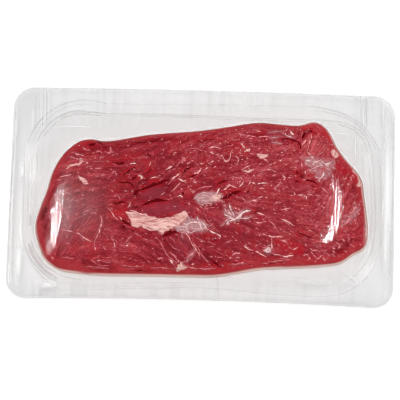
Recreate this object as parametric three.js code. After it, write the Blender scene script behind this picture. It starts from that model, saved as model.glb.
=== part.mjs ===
// Raw bavette steak sealed in a clear skin pack: a shallow formed tray, the steak lying in it
// and a skin of film over both. Millimetres, +Z up, origin under the middle of the tray.
import * as THREE from "three";

// Tray
const packLength = 240;
const packWidth = 134;
const packCornerRadius = 13;
const sheetThickness = 0.6;
const recessDepth = 12;
const recessLength = 223.4;
const recessWidth = 119.6;
const recessCornerRadius = 38;
const wallDraft = 6; // how far the recess wall leans in from rim to floor
const rimBlend = 3; // rounding where flange turns into wall
const floorBlend = 5; // rounding where wall turns into floor
const lipDrop = 1.7; // turned-down edge round the flange
const lipRound = 1.2;
const cornerSteps = 8;
const blendSteps = 3;

// Steak
const gap = 0.3; // clearance kept between touching pieces
const edgeHeight = 9; // height of the steak's rim above its underside
const steakThickness = 17.6; // general thickness inside the shoulder
const middleRise = 1.6; // extra thickness towards the thick left half
const thickMiddleX = -30;
const thickSpread = 75;
const shoulderWidth = 13; // how far in from the rim the upper face is rounded
const endShoulderWidth = 26; // the same at the gently sloping right end
const endShoulderFrom = 40;
const endShoulderTo = 85;
const gridAlong = 72;
const gridAcross = 32;
const sideRings = [
  // outward offset, share of the rim height
  [0.3, 0.62],
  [-0.6, 0.28],
  [-4.5, 0],
];

// Film
const filmThickness = 0.35;
const filmInset = 2.4; // film edge inside the tray's turned-down lip
const filmStride = 2; // one film cell covers this many steak cells each way
const filmLift = 0.3; // extra slack over the steak
const filmRings = [
  // share of the way from steak rim to recess rim, share of the way from sag level to flange level
  [0.22, 0.12],
  [0.55, 0],
  [0.86, 0.6],
];
const filmSag = 9.4; // level of the film at its lowest, in the moat round the steak

const trayFloor = sheetThickness;
const flangeTop = sheetThickness + recessDepth;
const steakUnderside = trayFloor + gap;

// Outline of the steak seen from above, anticlockwise from its far left corner.
const outlinePoints = [
  [-77.4, 33.6], [-87.1, 25.3], [-93.2, 14.5], [-96.5, 2.1], [-100.8, -10.6], [-102.8, -20.6],
  [-100.5, -31.6], [-95.9, -40.3], [-87.3, -46], [-77.5, -47.6], [-60.5, -48.6], [-43.3, -48.3],
  [-6, -47.9], [9.5, -47.5], [21.9, -45.3], [37.3, -42.3], [74.5, -39.4], [86.9, -37.2],
  [94.5, -31.8], [101.7, -27.5], [103.3, -20], [102.5, -8.4], [100.6, 4.2], [98.8, 14.7],
  [88.3, 27.5], [82.6, 35.6], [79.5, 42], [74.9, 47.7], [69.2, 49.8], [60.5, 47.3],
  [33.4, 48.3], [16.6, 45.4], [-2.4, 42.2], [-33.7, 38.8], [-61.9, 33.8], [-70.3, 34.9],
];
// Outline points where the grid of the upper face has its four corners.
const farLeftCorner = 1;
const nearLeftCorner = 7;
const nearRightCorner = 19;
const farRightCorner = 26;

// Muscle bundles that swell out of the upper face: middle x, y, length, width, turn in degrees, height.
const bundles = [
  [-55.2, 1.4, 28, 17, -6, 1.1],
  [-32.3, 3.9, 26, 9, 28, 0.9],
  [-25.7, -7.2, 30, 9, 12, 0.9],
  [-37.2, -33.8, 40, 17, -8, 0.8],
  [-10, -33.7, 20, 13, -55, 0.6],
  [21.4, -30.9, 40, 18, -20, 0.8],
  [-60.9, 20.2, 32, 17, 5, 0.7],
  [-23.7, 27.6, 44, 14, 14, 0.7],
  [32.1, 35.5, 54, 13, -3, 0.6],
  [45.3, 1.1, 44, 20, 4, 0.8],
  [71.4, 36.6, 22, 16, 70, 0.6],
  [88.8, -0.9, 34, 16, 84, 0.7],
  [-85.9, -15, 36, 18, 80, 0.7],
  [-71.2, -33.5, 26, 18, 62, 0.6],
  [-1.7, 18.7, 40, 12, 16, 0.6],
  [61.4, -28, 44, 15, -8, 0.7],
  [-27, -18.5, 38, 9, -9, 0.7],
];

// Clefts between bundles: depth, half width, then the points along each.
const clefts = [
  [1.7, 1.9, [-52.3, 7.2], [-44.7, 4.9], [-41.5, -0.1], [-32.4, 5.8], [-22.5, 9.9]],
  [1.3, 1.8, [-37.5, -8.2], [-30.8, -4.2], [-20.9, -3.3]],
  [1.1, 1.9, [-64.2, -7], [-51.8, -6], [-46.1, -9]],
  [1.2, 1.8, [10.7, -2.4], [18.7, 2.2], [23.6, 4.9]],
  [1.2, 1.8, [-40.7, -23], [-23.3, -24.4], [-14.1, -23.6]],
  [1, 1.8, [-50.9, -14.2], [-47, -20.3], [-40.7, -22.7]],
  [1.1, 1.8, [58.1, -19.3], [64.4, -22.9], [72.5, -25.8]],
  [1, 1.8, [49.6, 36.6], [59, 34.3], [60.9, 28.7]],
  [0.9, 1.8, [58.2, 10.9], [65.6, 10.5], [70.7, 7.4]],
];

const outlineCurve = new THREE.CatmullRomCurve3(
  outlinePoints.map(([x, y]) => new THREE.Vector3(x, y, 0)),
  true,
  "centripetal",
);

// Curve position of one of the outline points, and a run of points between two of them.
function outlineShare(index) {
  return index / outlinePoints.length;
}

function outlineRun(fromIndex, toIndex, steps) {
  const start = outlineShare(fromIndex);
  let end = outlineShare(toIndex);
  if (end <= start) {
    end += 1;
  }
  const fine = [];
  const fineSteps = steps * 12;
  for (let i = 0; i <= fineSteps; i += 1) {
    fine.push(outlineCurve.getPoint((start + ((end - start) * i) / fineSteps) % 1));
  }
  const run = new THREE.CurvePath();
  for (let i = 0; i < fineSteps; i += 1) {
    run.add(new THREE.LineCurve3(fine[i], fine[i + 1]));
  }
  return run.getSpacedPoints(steps);
}

const leftRun = outlineRun(farLeftCorner, nearLeftCorner, gridAcross).reverse();
const nearRun = outlineRun(nearLeftCorner, nearRightCorner, gridAlong);
const rightRun = outlineRun(nearRightCorner, farRightCorner, gridAcross);
const farRun = outlineRun(farRightCorner, farLeftCorner, gridAlong).reverse();

// The rim of the steak as one closed ring, anticlockwise from the near left corner.
const rimRing = [
  ...nearRun.slice(0, -1),
  ...rightRun.slice(0, -1),
  ...farRun.slice(1).reverse(),
  ...leftRun.slice(1).reverse(),
];

function distanceToPath(x, y, path) {
  const spot = new THREE.Vector3(x, y, 0);
  const nearest = new THREE.Vector3();
  const line = new THREE.Line3();
  let best = Infinity;
  for (let i = 0; i + 1 < path.length; i += 1) {
    line.set(path[i], path[i + 1]);
    line.closestPointToPoint(spot, true, nearest);
    best = Math.min(best, nearest.distanceTo(spot));
  }
  return best;
}

const closedRim = [...rimRing, rimRing[0]];
const cleftPaths = clefts.map(([depth, halfWidth, ...points]) => ({
  depth,
  halfWidth,
  path: points.map(([x, y]) => new THREE.Vector3(x, y, 0)),
}));

// Swellings and clefts of the upper face.
function faceRelief(x, y) {
  let height = 0;
  for (const [midX, midY, length, width, turn, rise] of bundles) {
    const angle = THREE.MathUtils.degToRad(turn);
    const along = ((x - midX) * Math.cos(angle) + (y - midY) * Math.sin(angle)) / (length / 2);
    const across = ((y - midY) * Math.cos(angle) - (x - midX) * Math.sin(angle)) / (width / 2);
    const inside = Math.max(0, 1 - along * along - across * across);
    height += rise * Math.sqrt(inside);
  }
  for (const { depth, halfWidth, path } of cleftPaths) {
    const share = distanceToPath(x, y, path) / halfWidth;
    height -= depth * Math.exp(-share * share);
  }
  return height;
}

// Height of the upper face above the underside of the steak.
function steakHeight(x, y) {
  const endShare = THREE.MathUtils.smoothstep(x, endShoulderFrom, endShoulderTo);
  const width = THREE.MathUtils.lerp(shoulderWidth, endShoulderWidth, endShare);
  const fromRim = Math.min(distanceToPath(x, y, closedRim), width);
  const left = 1 - fromRim / width;
  const shoulder = Math.sqrt(1 - left * left);
  const spread = (x - thickMiddleX) / thickSpread;
  const full = steakThickness + middleRise * Math.exp(-spread * spread);
  return edgeHeight + (full - edgeHeight + faceRelief(x, y)) * shoulder;
}

// Grid of the upper face, blended in from the four runs of the rim.
function blendedGrid() {
  const rows = [];
  for (let row = 0; row <= gridAcross; row += 1) {
    const v = row / gridAcross;
    const points = [];
    for (let column = 0; column <= gridAlong; column += 1) {
      const u = column / gridAlong;
      const spot = new THREE.Vector3();
      spot.addScaledVector(nearRun[column], 1 - v).addScaledVector(farRun[column], v);
      spot.addScaledVector(leftRun[row], 1 - u).addScaledVector(rightRun[row], u);
      spot.addScaledVector(nearRun[0], -(1 - u) * (1 - v));
      spot.addScaledVector(nearRun[gridAlong], -u * (1 - v));
      spot.addScaledVector(farRun[0], -(1 - u) * v);
      spot.addScaledVector(farRun[gridAlong], -u * v);
      spot.z = steakUnderside + steakHeight(spot.x, spot.y);
      points.push(spot);
    }
    rows.push(points);
  }
  return rows;
}

// Collects points and triangles of one closed body.
class Skin {
  constructor() {
    this.positions = [];
    this.faces = [];
  }

  point(spot) {
    this.positions.push(spot.x, spot.y, spot.z);
    return this.positions.length / 3 - 1;
  }

  ring(spots) {
    return spots.map((spot) => this.point(spot));
  }

  // Joins two closed rings that run anticlockwise seen from above. The second lies further along the surface.
  band(first, second) {
    for (let i = 0; i < first.length; i += 1) {
      const next = (i + 1) % first.length;
      this.faces.push(first[i], second[i], second[next]);
      this.faces.push(first[i], second[next], first[next]);
    }
  }

  cap(ring, facingUp) {
    const outline = ring.map((id) => new THREE.Vector2(this.positions[id * 3], this.positions[id * 3 + 1]));
    for (const [a, b, c] of THREE.ShapeUtils.triangulateShape(outline, [])) {
      if (facingUp) {
        this.faces.push(ring[a], ring[b], ring[c]);
      } else {
        this.faces.push(ring[a], ring[c], ring[b]);
      }
    }
  }

  // Cells of a grid of point numbers, split so that no corner cell has a triangle with two rim edges.
  cells(grid, facingUp) {
    const lastRow = grid.length - 1;
    const lastColumn = grid[0].length - 1;
    for (let row = 0; row < lastRow; row += 1) {
      for (let column = 0; column < lastColumn; column += 1) {
        const a = grid[row][column];
        const b = grid[row][column + 1];
        const c = grid[row + 1][column + 1];
        const d = grid[row + 1][column];
        const lowRow = row < lastRow / 2;
        const lowColumn = column < lastColumn / 2;
        const halves = lowRow === lowColumn ? [[a, b, c], [a, c, d]] : [[a, b, d], [b, c, d]];
        for (const half of halves) {
          this.faces.push(...(facingUp ? half : half.reverse()));
        }
      }
    }
  }

  mesh(name, colour, roughness) {
    const geometry = new THREE.BufferGeometry();
    geometry.setAttribute("position", new THREE.Float32BufferAttribute(this.positions, 3));
    geometry.setIndex(this.faces);
    geometry.computeVertexNormals();
    const material = new THREE.MeshStandardMaterial({ color: colour, roughness, metalness: 0 });
    const mesh = new THREE.Mesh(geometry, material);
    mesh.name = name;
    return mesh;
  }
}

// Closed ring of a rounded rectangle, anticlockwise seen from above.
function roundedRing(length, width, radius, z) {
  const ring = [];
  for (let corner = 0; corner < 4; corner += 1) {
    const sideX = corner === 0 || corner === 3 ? 1 : -1;
    const sideY = corner < 2 ? 1 : -1;
    const midX = sideX * (length / 2 - radius);
    const midY = sideY * (width / 2 - radius);
    for (let step = 0; step <= cornerSteps; step += 1) {
      const angle = ((corner + step / cornerSteps) * Math.PI) / 2;
      ring.push(new THREE.Vector3(midX + radius * Math.cos(angle), midY + radius * Math.sin(angle), z));
    }
  }
  return ring;
}

// Rings of the recess: a section from floor to flange with both turns rounded, swept round the recess.
function recessRings(shift, drop) {
  const wall = new THREE.Vector2(-wallDraft, recessDepth).normalize();
  const foot = new THREE.Vector2(wallDraft, trayFloor);
  const brow = new THREE.Vector2(0, flangeTop);
  const wallStart = foot.clone().addScaledVector(wall, floorBlend);
  const wallEnd = brow.clone().addScaledVector(wall, -rimBlend);
  const section = new THREE.Path();
  section.moveTo(foot.x + floorBlend, foot.y);
  section.quadraticCurveTo(foot.x, foot.y, wallStart.x, wallStart.y);
  section.lineTo(wallEnd.x, wallEnd.y);
  section.quadraticCurveTo(brow.x, brow.y, brow.x - rimBlend, brow.y);
  return section.getPoints(blendSteps).map((spot) => {
    const inset = spot.x - shift;
    return roundedRing(
      recessLength - 2 * inset,
      recessWidth - 2 * inset,
      recessCornerRadius - inset,
      spot.y - drop,
    );
  });
}

function flangeRing(inset, z) {
  return roundedRing(packLength - 2 * inset, packWidth - 2 * inset, packCornerRadius - inset, z);
}

function buildTray() {
  const skin = new Skin();
  const wallAngle = Math.atan2(recessDepth, wallDraft);
  const undersideShift = sheetThickness * Math.tan(wallAngle / 2);
  const upper = recessRings(0, 0);
  const lower = recessRings(undersideShift, sheetThickness).reverse();
  const lipRoundInset = lipRound * (1 - Math.SQRT1_2);
  const lip = [
    flangeRing(lipRound, flangeTop),
    flangeRing(lipRoundInset, flangeTop - lipRoundInset),
    flangeRing(0, flangeTop - lipRound),
    flangeRing(0, flangeTop - lipDrop),
    flangeRing(sheetThickness, flangeTop - lipDrop),
    flangeRing(sheetThickness, flangeTop - lipRound),
    flangeRing(lipRound, flangeTop - sheetThickness),
  ];
  const rings = [...upper, ...lip, ...lower].map((spots) => skin.ring(spots));
  skin.cap(rings[0], true);
  for (let i = 0; i + 1 < rings.length; i += 1) {
    skin.band(rings[i], rings[i + 1]);
  }
  skin.cap(rings[rings.length - 1], false);
  return skin.mesh("tray", 0xe9ebec, 0.12);
}

// Moves a ring outward in plan by a distance and sets its level.
function offsetRing(ring, distance, z) {
  return ring.map((spot, i) => {
    const before = ring[(i + ring.length - 1) % ring.length];
    const after = ring[(i + 1) % ring.length];
    const outward = new THREE.Vector3(after.y - before.y, before.x - after.x, 0).normalize();
    const moved = spot.clone().addScaledVector(outward, distance);
    moved.z = z;
    return moved;
  });
}

// Point numbers round the edge of a grid, anticlockwise from its near left corner.
function gridEdge(grid) {
  const last = grid.length - 1;
  const end = grid[0].length - 1;
  return [
    ...grid[0].slice(0, end),
    ...grid.slice(0, last).map((row) => row[end]),
    ...grid[last].slice(1).reverse(),
    ...grid.slice(1).map((row) => row[0]).reverse(),
  ];
}

function buildSteak(upperFace) {
  const skin = new Skin();
  const grid = upperFace.map((row) => skin.ring(row));
  skin.cells(grid, true);
  let ring = gridEdge(grid);
  for (const [outward, share] of sideRings) {
    const next = skin.ring(offsetRing(rimRing, outward, steakUnderside + edgeHeight * share));
    skin.band(ring, next);
    ring = next;
  }
  skin.cap(ring, false);
  return skin.mesh("steak", 0x9e3440, 0.38);
}

// Highest point of the upper face among a grid point and its neighbours.
function highestNear(upperFace, row, column) {
  let highest = -Infinity;
  for (let r = Math.max(0, row - 1); r <= Math.min(gridAcross, row + 1); r += 1) {
    for (let c = Math.max(0, column - 1); c <= Math.min(gridAlong, column + 1); c += 1) {
      highest = Math.max(highest, upperFace[r][c].z);
    }
  }
  return highest;
}

// Where a ray from the middle of the pack through a spot leaves a ring.
function rayOut(spot, ring) {
  for (let i = 0; i < ring.length; i += 1) {
    const from = ring[i];
    const to = ring[(i + 1) % ring.length];
    const turn = spot.x * (to.y - from.y) - spot.y * (to.x - from.x);
    const share = (spot.y * from.x - spot.x * from.y) / turn;
    const reach = (from.x * to.y - from.y * to.x) / turn;
    if (turn > 0 && share >= -1e-9 && share <= 1 + 1e-9 && reach > 0) {
      return new THREE.Vector3(spot.x * reach, spot.y * reach, from.z);
    }
  }
  throw new Error("ray misses the ring");
}

function buildFilm(upperFace) {
  const overSteak = [];
  for (let row = 0; row <= gridAcross; row += filmStride) {
    const points = [];
    for (let column = 0; column <= gridAlong; column += filmStride) {
      const spot = upperFace[row][column].clone();
      spot.z = highestNear(upperFace, row, column) + gap + filmLift;
      points.push(spot);
    }
    overSteak.push(points);
  }
  const filmLevel = flangeTop + gap;
  const steakEdge = gridEdge(overSteak);
  const recessRim = roundedRing(recessLength, recessWidth, recessCornerRadius, filmLevel);
  const filmEdge = flangeRing(filmInset, filmLevel);
  const rimSpots = steakEdge.map((spot) => rayOut(spot, recessRim));
  const moat = filmRings.map(([share, rise]) => steakEdge.map((spot, i) => {
    const placed = spot.clone().lerp(rimSpots[i], share);
    placed.z = THREE.MathUtils.lerp(filmSag, filmLevel, rise);
    return placed;
  }));
  const outer = steakEdge.map((spot) => rayOut(spot, filmEdge));

  const skin = new Skin();
  const side = (lift, facingUp) => {
    const raised = (spot) => skin.point(new THREE.Vector3(spot.x, spot.y, spot.z + lift));
    const grid = overSteak.map((row) => row.map(raised));
    skin.cells(grid, facingUp);
    const rings = [gridEdge(grid), ...[...moat, rimSpots, outer].map((ring) => ring.map(raised))];
    for (let i = 0; i + 1 < rings.length; i += 1) {
      skin.band(facingUp ? rings[i] : rings[i + 1], facingUp ? rings[i + 1] : rings[i]);
    }
    return rings[rings.length - 1];
  };
  const upperEdge = side(filmThickness, true);
  const lowerEdge = side(0, false);
  skin.band(upperEdge, lowerEdge);
  return skin.mesh("film", 0xf4f5f6, 0.08);
}

const upperFace = blendedGrid();
const part = new THREE.Group();
part.name = "skin_packed_bavette_steak";
part.add(buildTray());
part.add(buildSteak(upperFace));
part.add(buildFilm(upperFace));

export default part;
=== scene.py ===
import math

import bpy
import numpy as np
from mathutils import Matrix, Vector
from mathutils.bvhtree import BVHTree


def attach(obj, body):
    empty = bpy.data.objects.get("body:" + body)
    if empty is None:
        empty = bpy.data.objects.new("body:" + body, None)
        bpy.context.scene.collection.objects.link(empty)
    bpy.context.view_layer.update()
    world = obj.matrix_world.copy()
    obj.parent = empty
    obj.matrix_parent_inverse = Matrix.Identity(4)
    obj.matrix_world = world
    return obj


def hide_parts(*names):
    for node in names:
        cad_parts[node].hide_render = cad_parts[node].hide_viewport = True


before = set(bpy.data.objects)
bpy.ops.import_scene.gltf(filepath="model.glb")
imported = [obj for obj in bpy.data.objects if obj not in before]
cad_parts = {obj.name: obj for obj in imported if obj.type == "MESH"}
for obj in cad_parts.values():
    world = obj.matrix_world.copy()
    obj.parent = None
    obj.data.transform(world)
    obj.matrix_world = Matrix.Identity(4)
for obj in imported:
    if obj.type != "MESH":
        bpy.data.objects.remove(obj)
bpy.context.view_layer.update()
mm = 0.001
weld = 0.01 * mm  # points closer than this are one
print("frame loaded")


# the camera stands first, because the marks on the meat are placed by lines of sight through the picture

camera = {
    "target": (-1.097, -2.273, 12.6), "distance": 1100,  # mm
    "azimuth": 3, "elevation": 80.242, "roll": -1.386,  # degrees
    "lens": 158.8, "sensor": 36, "picture": 400, "clip": (0.05, 20),  # mm, mm, picture points across, m
}


def cameraTurn():
    a, e, roll = (math.radians(camera[k]) for k in ("azimuth", "elevation", "roll"))
    back = Vector((math.sin(a) * math.cos(e), -math.cos(a) * math.cos(e), math.sin(e)))
    right = Vector((0, 0, 1)).cross(back).normalized()
    up = back.cross(right)
    rolledRight = math.cos(roll) * right + math.sin(roll) * up
    rolledUp = -math.sin(roll) * right + math.cos(roll) * up
    return Matrix((rolledRight, rolledUp, back)).transposed()


cameraAxes = cameraTurn()
eyePlace = (Vector(camera["target"]) + cameraAxes.col[2] * camera["distance"]) * mm


def surfaceOf(piece):
    corners = [v.co for v in piece.data.vertices]
    return BVHTree.FromPolygons(corners, [tuple(p.vertices) for p in piece.data.polygons])


def seenAt(surface, px, py):
    # where the line of sight through a picture point meets a surface, in mm
    focal = camera["lens"] / camera["sensor"] * camera["picture"]
    middle = camera["picture"] / 2
    ray = cameraAxes @ Vector(((px - middle) / focal, (middle - py) / focal, -1))
    spot = surface.ray_cast(eyePlace, ray.normalized())[0]
    if spot is None:
        # past the edge of the surface it is met at the level of the steak's rim
        spot = eyePlace + ray * ((steak["rimLevel"] * mm - eyePlace.z) / ray.z)
    return spot.x / mm, spot.y / mm


def heightAt(surface, x, y, otherwise):
    # how high a surface lies above each x, y in mm
    down, above = Vector((0, 0, -1)), 100 * mm
    found = [surface.ray_cast(Vector((a * mm, b * mm, above)), down)[0] for a, b in zip(x, y)]
    return np.array([otherwise if spot is None else spot.z / mm for spot in found])


# small helpers for the edit-mode work

def onlyActive(piece):
    if bpy.context.object and bpy.context.object.mode != "OBJECT":
        bpy.ops.object.mode_set(mode="OBJECT")
    bpy.ops.object.select_all(action="DESELECT")
    piece.select_set(True)
    bpy.context.view_layer.objects.active = piece


def pick(piece, kind, wanted):
    # leaves the piece in edit mode with just the wanted vertices, edges or faces selected
    onlyActive(piece)
    bpy.ops.object.mode_set(mode="EDIT")
    bpy.ops.mesh.select_mode(type=kind)
    bpy.ops.mesh.select_all(action="DESELECT")
    bpy.ops.object.mode_set(mode="OBJECT")
    parts = {"VERT": piece.data.vertices, "EDGE": piece.data.edges, "FACE": piece.data.polygons}[kind]
    parts.foreach_set("select", [bool(wanted(part)) for part in parts])
    bpy.ops.object.mode_set(mode="EDIT")


def pickAll(piece):
    onlyActive(piece)
    bpy.ops.object.mode_set(mode="EDIT")
    bpy.ops.mesh.select_all(action="SELECT")


def edgeEnds(piece, edge):
    return [piece.data.vertices[i].co / mm for i in edge.vertices]


def places(piece):
    flat = np.empty(len(piece.data.vertices) * 3)
    piece.data.vertices.foreach_get("co", flat)
    return flat.reshape(-1, 3) / mm


def extrudeEdges(rise):
    bpy.ops.mesh.extrude_edges_move(TRANSFORM_OT_translate={"value": (0, 0, rise * mm)})


def setPlaces(piece, spots):
    piece.data.vertices.foreach_set("co", (spots * mm).ravel())
    piece.data.update()


def paint(piece, name, values):
    layer = piece.data.attributes.new(name, "FLOAT", "POINT")
    layer.data.foreach_set("value", np.asarray(values, dtype=np.float32))


def finishWith(piece, kind, **settings):
    onlyActive(piece)
    modifier = piece.modifiers.new(kind.title(), kind)
    for key, value in settings.items():
        setattr(modifier, key, value)
    bpy.ops.object.modifier_apply(modifier=modifier.name)


def ease(low, high, values):
    share = np.clip((values - low) / (high - low), 0, 1)
    return share * share * (3 - 2 * share)


# a flat canvas over the steak for fields that are worked out once and read at any point

canvas = {
    "cell": 0.3, "halfLength": 107, "halfWidth": 54, "endSlack": 0.1,  # mm
    "lastCell": 1.001,  # keeps the far corner of the last cell on the canvas
    "spareCells": 4,  # cells of a lattice of lumps past the canvas
    "reach": 4.0,  # mm from a stroke within which its distance is worked out
}
acrossX = np.arange(-canvas["halfLength"], canvas["halfLength"] + canvas["endSlack"], canvas["cell"])
acrossY = np.arange(-canvas["halfWidth"], canvas["halfWidth"] + canvas["endSlack"], canvas["cell"])
canvasX, canvasY = np.meshgrid(acrossX, acrossY)


def blended(grid, c, r, u, v):
    # the value of a grid between columns c and c + 1, rows r and r + 1
    near = grid[r, c] * (1 - u) + grid[r, c + 1] * u
    far = grid[r + 1, c] * (1 - u) + grid[r + 1, c + 1] * u
    return near * (1 - v) + far * v


def readField(field, x, y):
    column = np.clip((x + canvas["halfLength"]) / canvas["cell"], 0, len(acrossX) - canvas["lastCell"])
    row = np.clip((y + canvas["halfWidth"]) / canvas["cell"], 0, len(acrossY) - canvas["lastCell"])
    c, r = column.astype(int), row.astype(int)
    return blended(field, c, r, column - c, row - r)


def lumps(size, seed):
    # smooth random lumps of about this size in mm, mean 0, spread 1
    draw = np.random.default_rng(seed)
    columns = int(2 * canvas["halfLength"] / size) + canvas["spareCells"]
    rows = int(2 * canvas["halfWidth"] / size) + canvas["spareCells"]
    lattice = draw.standard_normal((rows, columns))
    x = (canvasX + canvas["halfLength"]) / size
    y = (canvasY + canvas["halfWidth"]) / size
    c, r = x.astype(int), y.astype(int)
    field = blended(lattice, c, r, ease(0, 1, x - c), ease(0, 1, y - r))
    return (field - field.mean()) / field.std()


def smear(field, headingX, headingY, reach):
    # averages a field along the grain, so lumps turn into fibres
    total = field.copy()
    count = 1
    for side in (1, -1):
        x, y = canvasX.copy(), canvasY.copy()
        stepX, stepY = headingX * side, headingY * side
        for _ in range(int(reach / canvas["cell"])):
            x = x + stepX * canvas["cell"]
            y = y + stepY * canvas["cell"]
            total += readField(field, x, y)
            count += 1
            newX, newY = readField(headingX, x, y), readField(headingY, x, y)
            turn = np.sign(newX * stepX + newY * stepY)
            turn[turn == 0] = 1
            stepX, stepY = newX * turn, newY * turn
    total /= count
    return (total - total.mean()) / total.std()


def runDistance(runs):
    # signed distance in mm to strokes, each a row of stations and the half width at each
    best = np.full(canvasX.shape, canvas["reach"])
    for stations, halves in runs:
        for i in range(len(stations) - 1):
            window, gone = segmentDistance(stations[i], halves[i], stations[i + 1], halves[i + 1])
            best[window] = np.minimum(best[window], gone)
    return best


def segmentDistance(start, startHalf, end, endHalf):
    # the part of the canvas round one piece of a stroke, and the signed distance to it there
    (ax, ay), (bx, by) = start, end
    margin = max(startHalf, endHalf) + canvas["reach"]
    window = []
    for a, b, half in ((ay, by, canvas["halfWidth"]), (ax, bx, canvas["halfLength"])):
        first = int((min(a, b) - margin + half) / canvas["cell"])
        last = int((max(a, b) + margin + half) / canvas["cell"]) + 1
        window.append(slice(max(first, 0), max(last, 0)))
    window = tuple(window)
    x, y = canvasX[window], canvasY[window]
    lengthSquared = (bx - ax) ** 2 + (by - ay) ** 2 + 1e-9
    share = np.clip(((x - ax) * (bx - ax) + (y - ay) * (by - ay)) / lengthSquared, 0, 1)
    gone = np.hypot(x - ax - share * (bx - ax), y - ay - share * (by - ay))
    return window, gone - startHalf - share * (endHalf - startHalf)


def eased(points, step):
    # a smooth line through the points, cut at about this step
    ends = np.vstack((2 * points[:1] - points[1:2], points, 2 * points[-1:] - points[-2:-1]))
    parts = []
    for p0, p1, p2, p3 in zip(ends, ends[1:], ends[2:], ends[3:]):
        count = max(int(np.hypot(*(p2 - p1)) / step), 1)
        t = np.arange(count)[:, None] / count
        bend = 2 * p0 - 5 * p1 + 4 * p2 - p3
        parts.append(p1 + t / 2 * (p2 - p0 + t * (bend + t * (3 * (p1 - p2) + p3 - p0))))
    return np.vstack(parts + [points[-1:]])


def tracedRun(mark, surface, step=0.6, tip=0.3):
    # the stations, half widths and strength of a mark laid on a surface
    half, strength, *run = mark
    points = np.array([seenAt(surface, px, py) for px, py in zip(run[::2], run[1::2])])
    stations = eased(points, step)
    share = np.linspace(0, 1, len(stations))
    return stations, half * (tip + (1 - tip) * np.sqrt(np.sin(np.pi * share).clip(0))), strength


strandHeight = 0.5  # mm, the most that a strand is high before it is pressed flat


def strandPiece(name, runs, surface, lift, flat, otherwise):
    # thin tapered strands that lie on a surface: swept as round curves, made a mesh, pressed flat and laid down
    curve = bpy.data.curves.new(name, "CURVE")
    curve.dimensions = "3D"
    curve.bevel_depth = mm
    curve.bevel_resolution = 0
    for stations, halves, _ in runs:
        spline = curve.splines.new("POLY")
        spline.points.add(len(stations) - 1)
        spline.points.foreach_set("co", np.column_stack(
            (stations * mm, np.zeros(len(stations)), np.ones(len(stations)))).astype(np.float32).ravel())
        spline.points.foreach_set("radius", np.asarray(halves, dtype=np.float32))
    piece = bpy.data.objects.new(name, curve)
    bpy.context.scene.collection.objects.link(piece)
    onlyActive(piece)
    bpy.ops.object.convert(target="MESH")
    piece = bpy.context.object
    piece.name = piece.data.name = name
    spots = places(piece)
    sides = len(spots) // sum(len(stations) for stations, _, _ in runs)
    strength = np.concatenate([np.full(sides * len(stations), value) for stations, _, value in runs])
    widths = np.concatenate([np.repeat(halves, sides) for _, halves, _ in runs])
    core = np.abs(spots[:, 2]) / widths
    bulge = flat * spots[:, 2].clip(-strandHeight, strandHeight)
    spots[:, 2] = heightAt(surface, spots[:, 0], spots[:, 1], otherwise) + lift + bulge
    setPlaces(piece, spots)
    paint(piece, "core", core)
    pickAll(piece)
    bpy.ops.mesh.fill_holes(sides=sides)
    bpy.ops.mesh.select_all(action="SELECT")
    bpy.ops.mesh.normals_make_consistent(inside=False)
    bpy.ops.object.mode_set(mode="OBJECT")
    bpy.ops.object.shade_smooth()
    return piece, strength


steak = {
    # level of the rim, and slacks for finding the points on it and below it, in mm
    "rimLevel": 9.9, "rimSlack": 0.05, "sameLevel": 0.02, "sideBelow": 0.01,
    "middleRise": 1.6, "middleX": -30, "middleSpread": 75,  # the swell in the middle
    "underFilm": 0.3, "press": 0.3,  # how far it stays under the film, and how softly it is pressed there
    "cuts": 2,  # that refine the upper face
    "fatRise": 0.2, "bundleRise": 0.15, "fibreRise": 0.04, "gapDepth": 0.12,  # relief in mm
    "cleftDepth": 0.38, "cleftSpread": 1.4, "cleftTip": 0.25,
    "fibreReach": 6, "bundleReach": 9, "gritReach": 1.2, "grainReach": 24,  # mm along the grain
    "pixel": 0.62,  # mm to one picture point on the meat
    "sideSteps": [(0.5, 8.2), (0.8, 3.2), (1.0, 2.2), (1.6, 1.7), (1.4, 0.9)],  # outward from the rim, level
    # the pale lower side is partly pale juice and fat at the foot and partly a painted highlight along the foot
    "paleBelow": 4.4, "paleSway": 0.9, "paleSoft": 1.5,  # the pale lower side
    # painted highlight, a pale line along the rim of the upper face: its width and how much wider it is to the
    # right, where it is sharp, its share and how much more
    "edgeWide": 0.7, "edgeWider": 0.8, "edgeSharp": 0.1, "edgeShare": 0.75, "edgeMore": 0.25,
    # middle of a patch and which way its fibres run, degrees from +X
    "grain": [
        (-70, 17, 5), (-64, -24, 35), (-18, 17, 30), (-26, -3, 20), (34, 33, -3), (41, 11, 5),
        (45, -16, -20), (-18, -37, -50), (29, -35, -15), (82, 2, 70), (-48, -36, -15), (71, 36, 75),
        (-89, -18, 80), (-57, 0, -5), (5, 22, 24), (10, -12, -20), (70, -28, -10),
    ],
    # middle of a patch, its reach, and how much paler or darker it is
    "tones": [
        (-75, -12, 22, -0.25), (72, -14, 26, -0.14), (-30, 2, 16, -0.3), (-60, -33, 24, 0.1),
        (0, -38, 26, -0.2), (82, -8, 20, 0.38), (10, 35, 30, 0.1), (70, 34, 16, 0.3),
        (40, -30, 24, 0.05), (12, 8, 14, -0.1),
    ],
}

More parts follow.
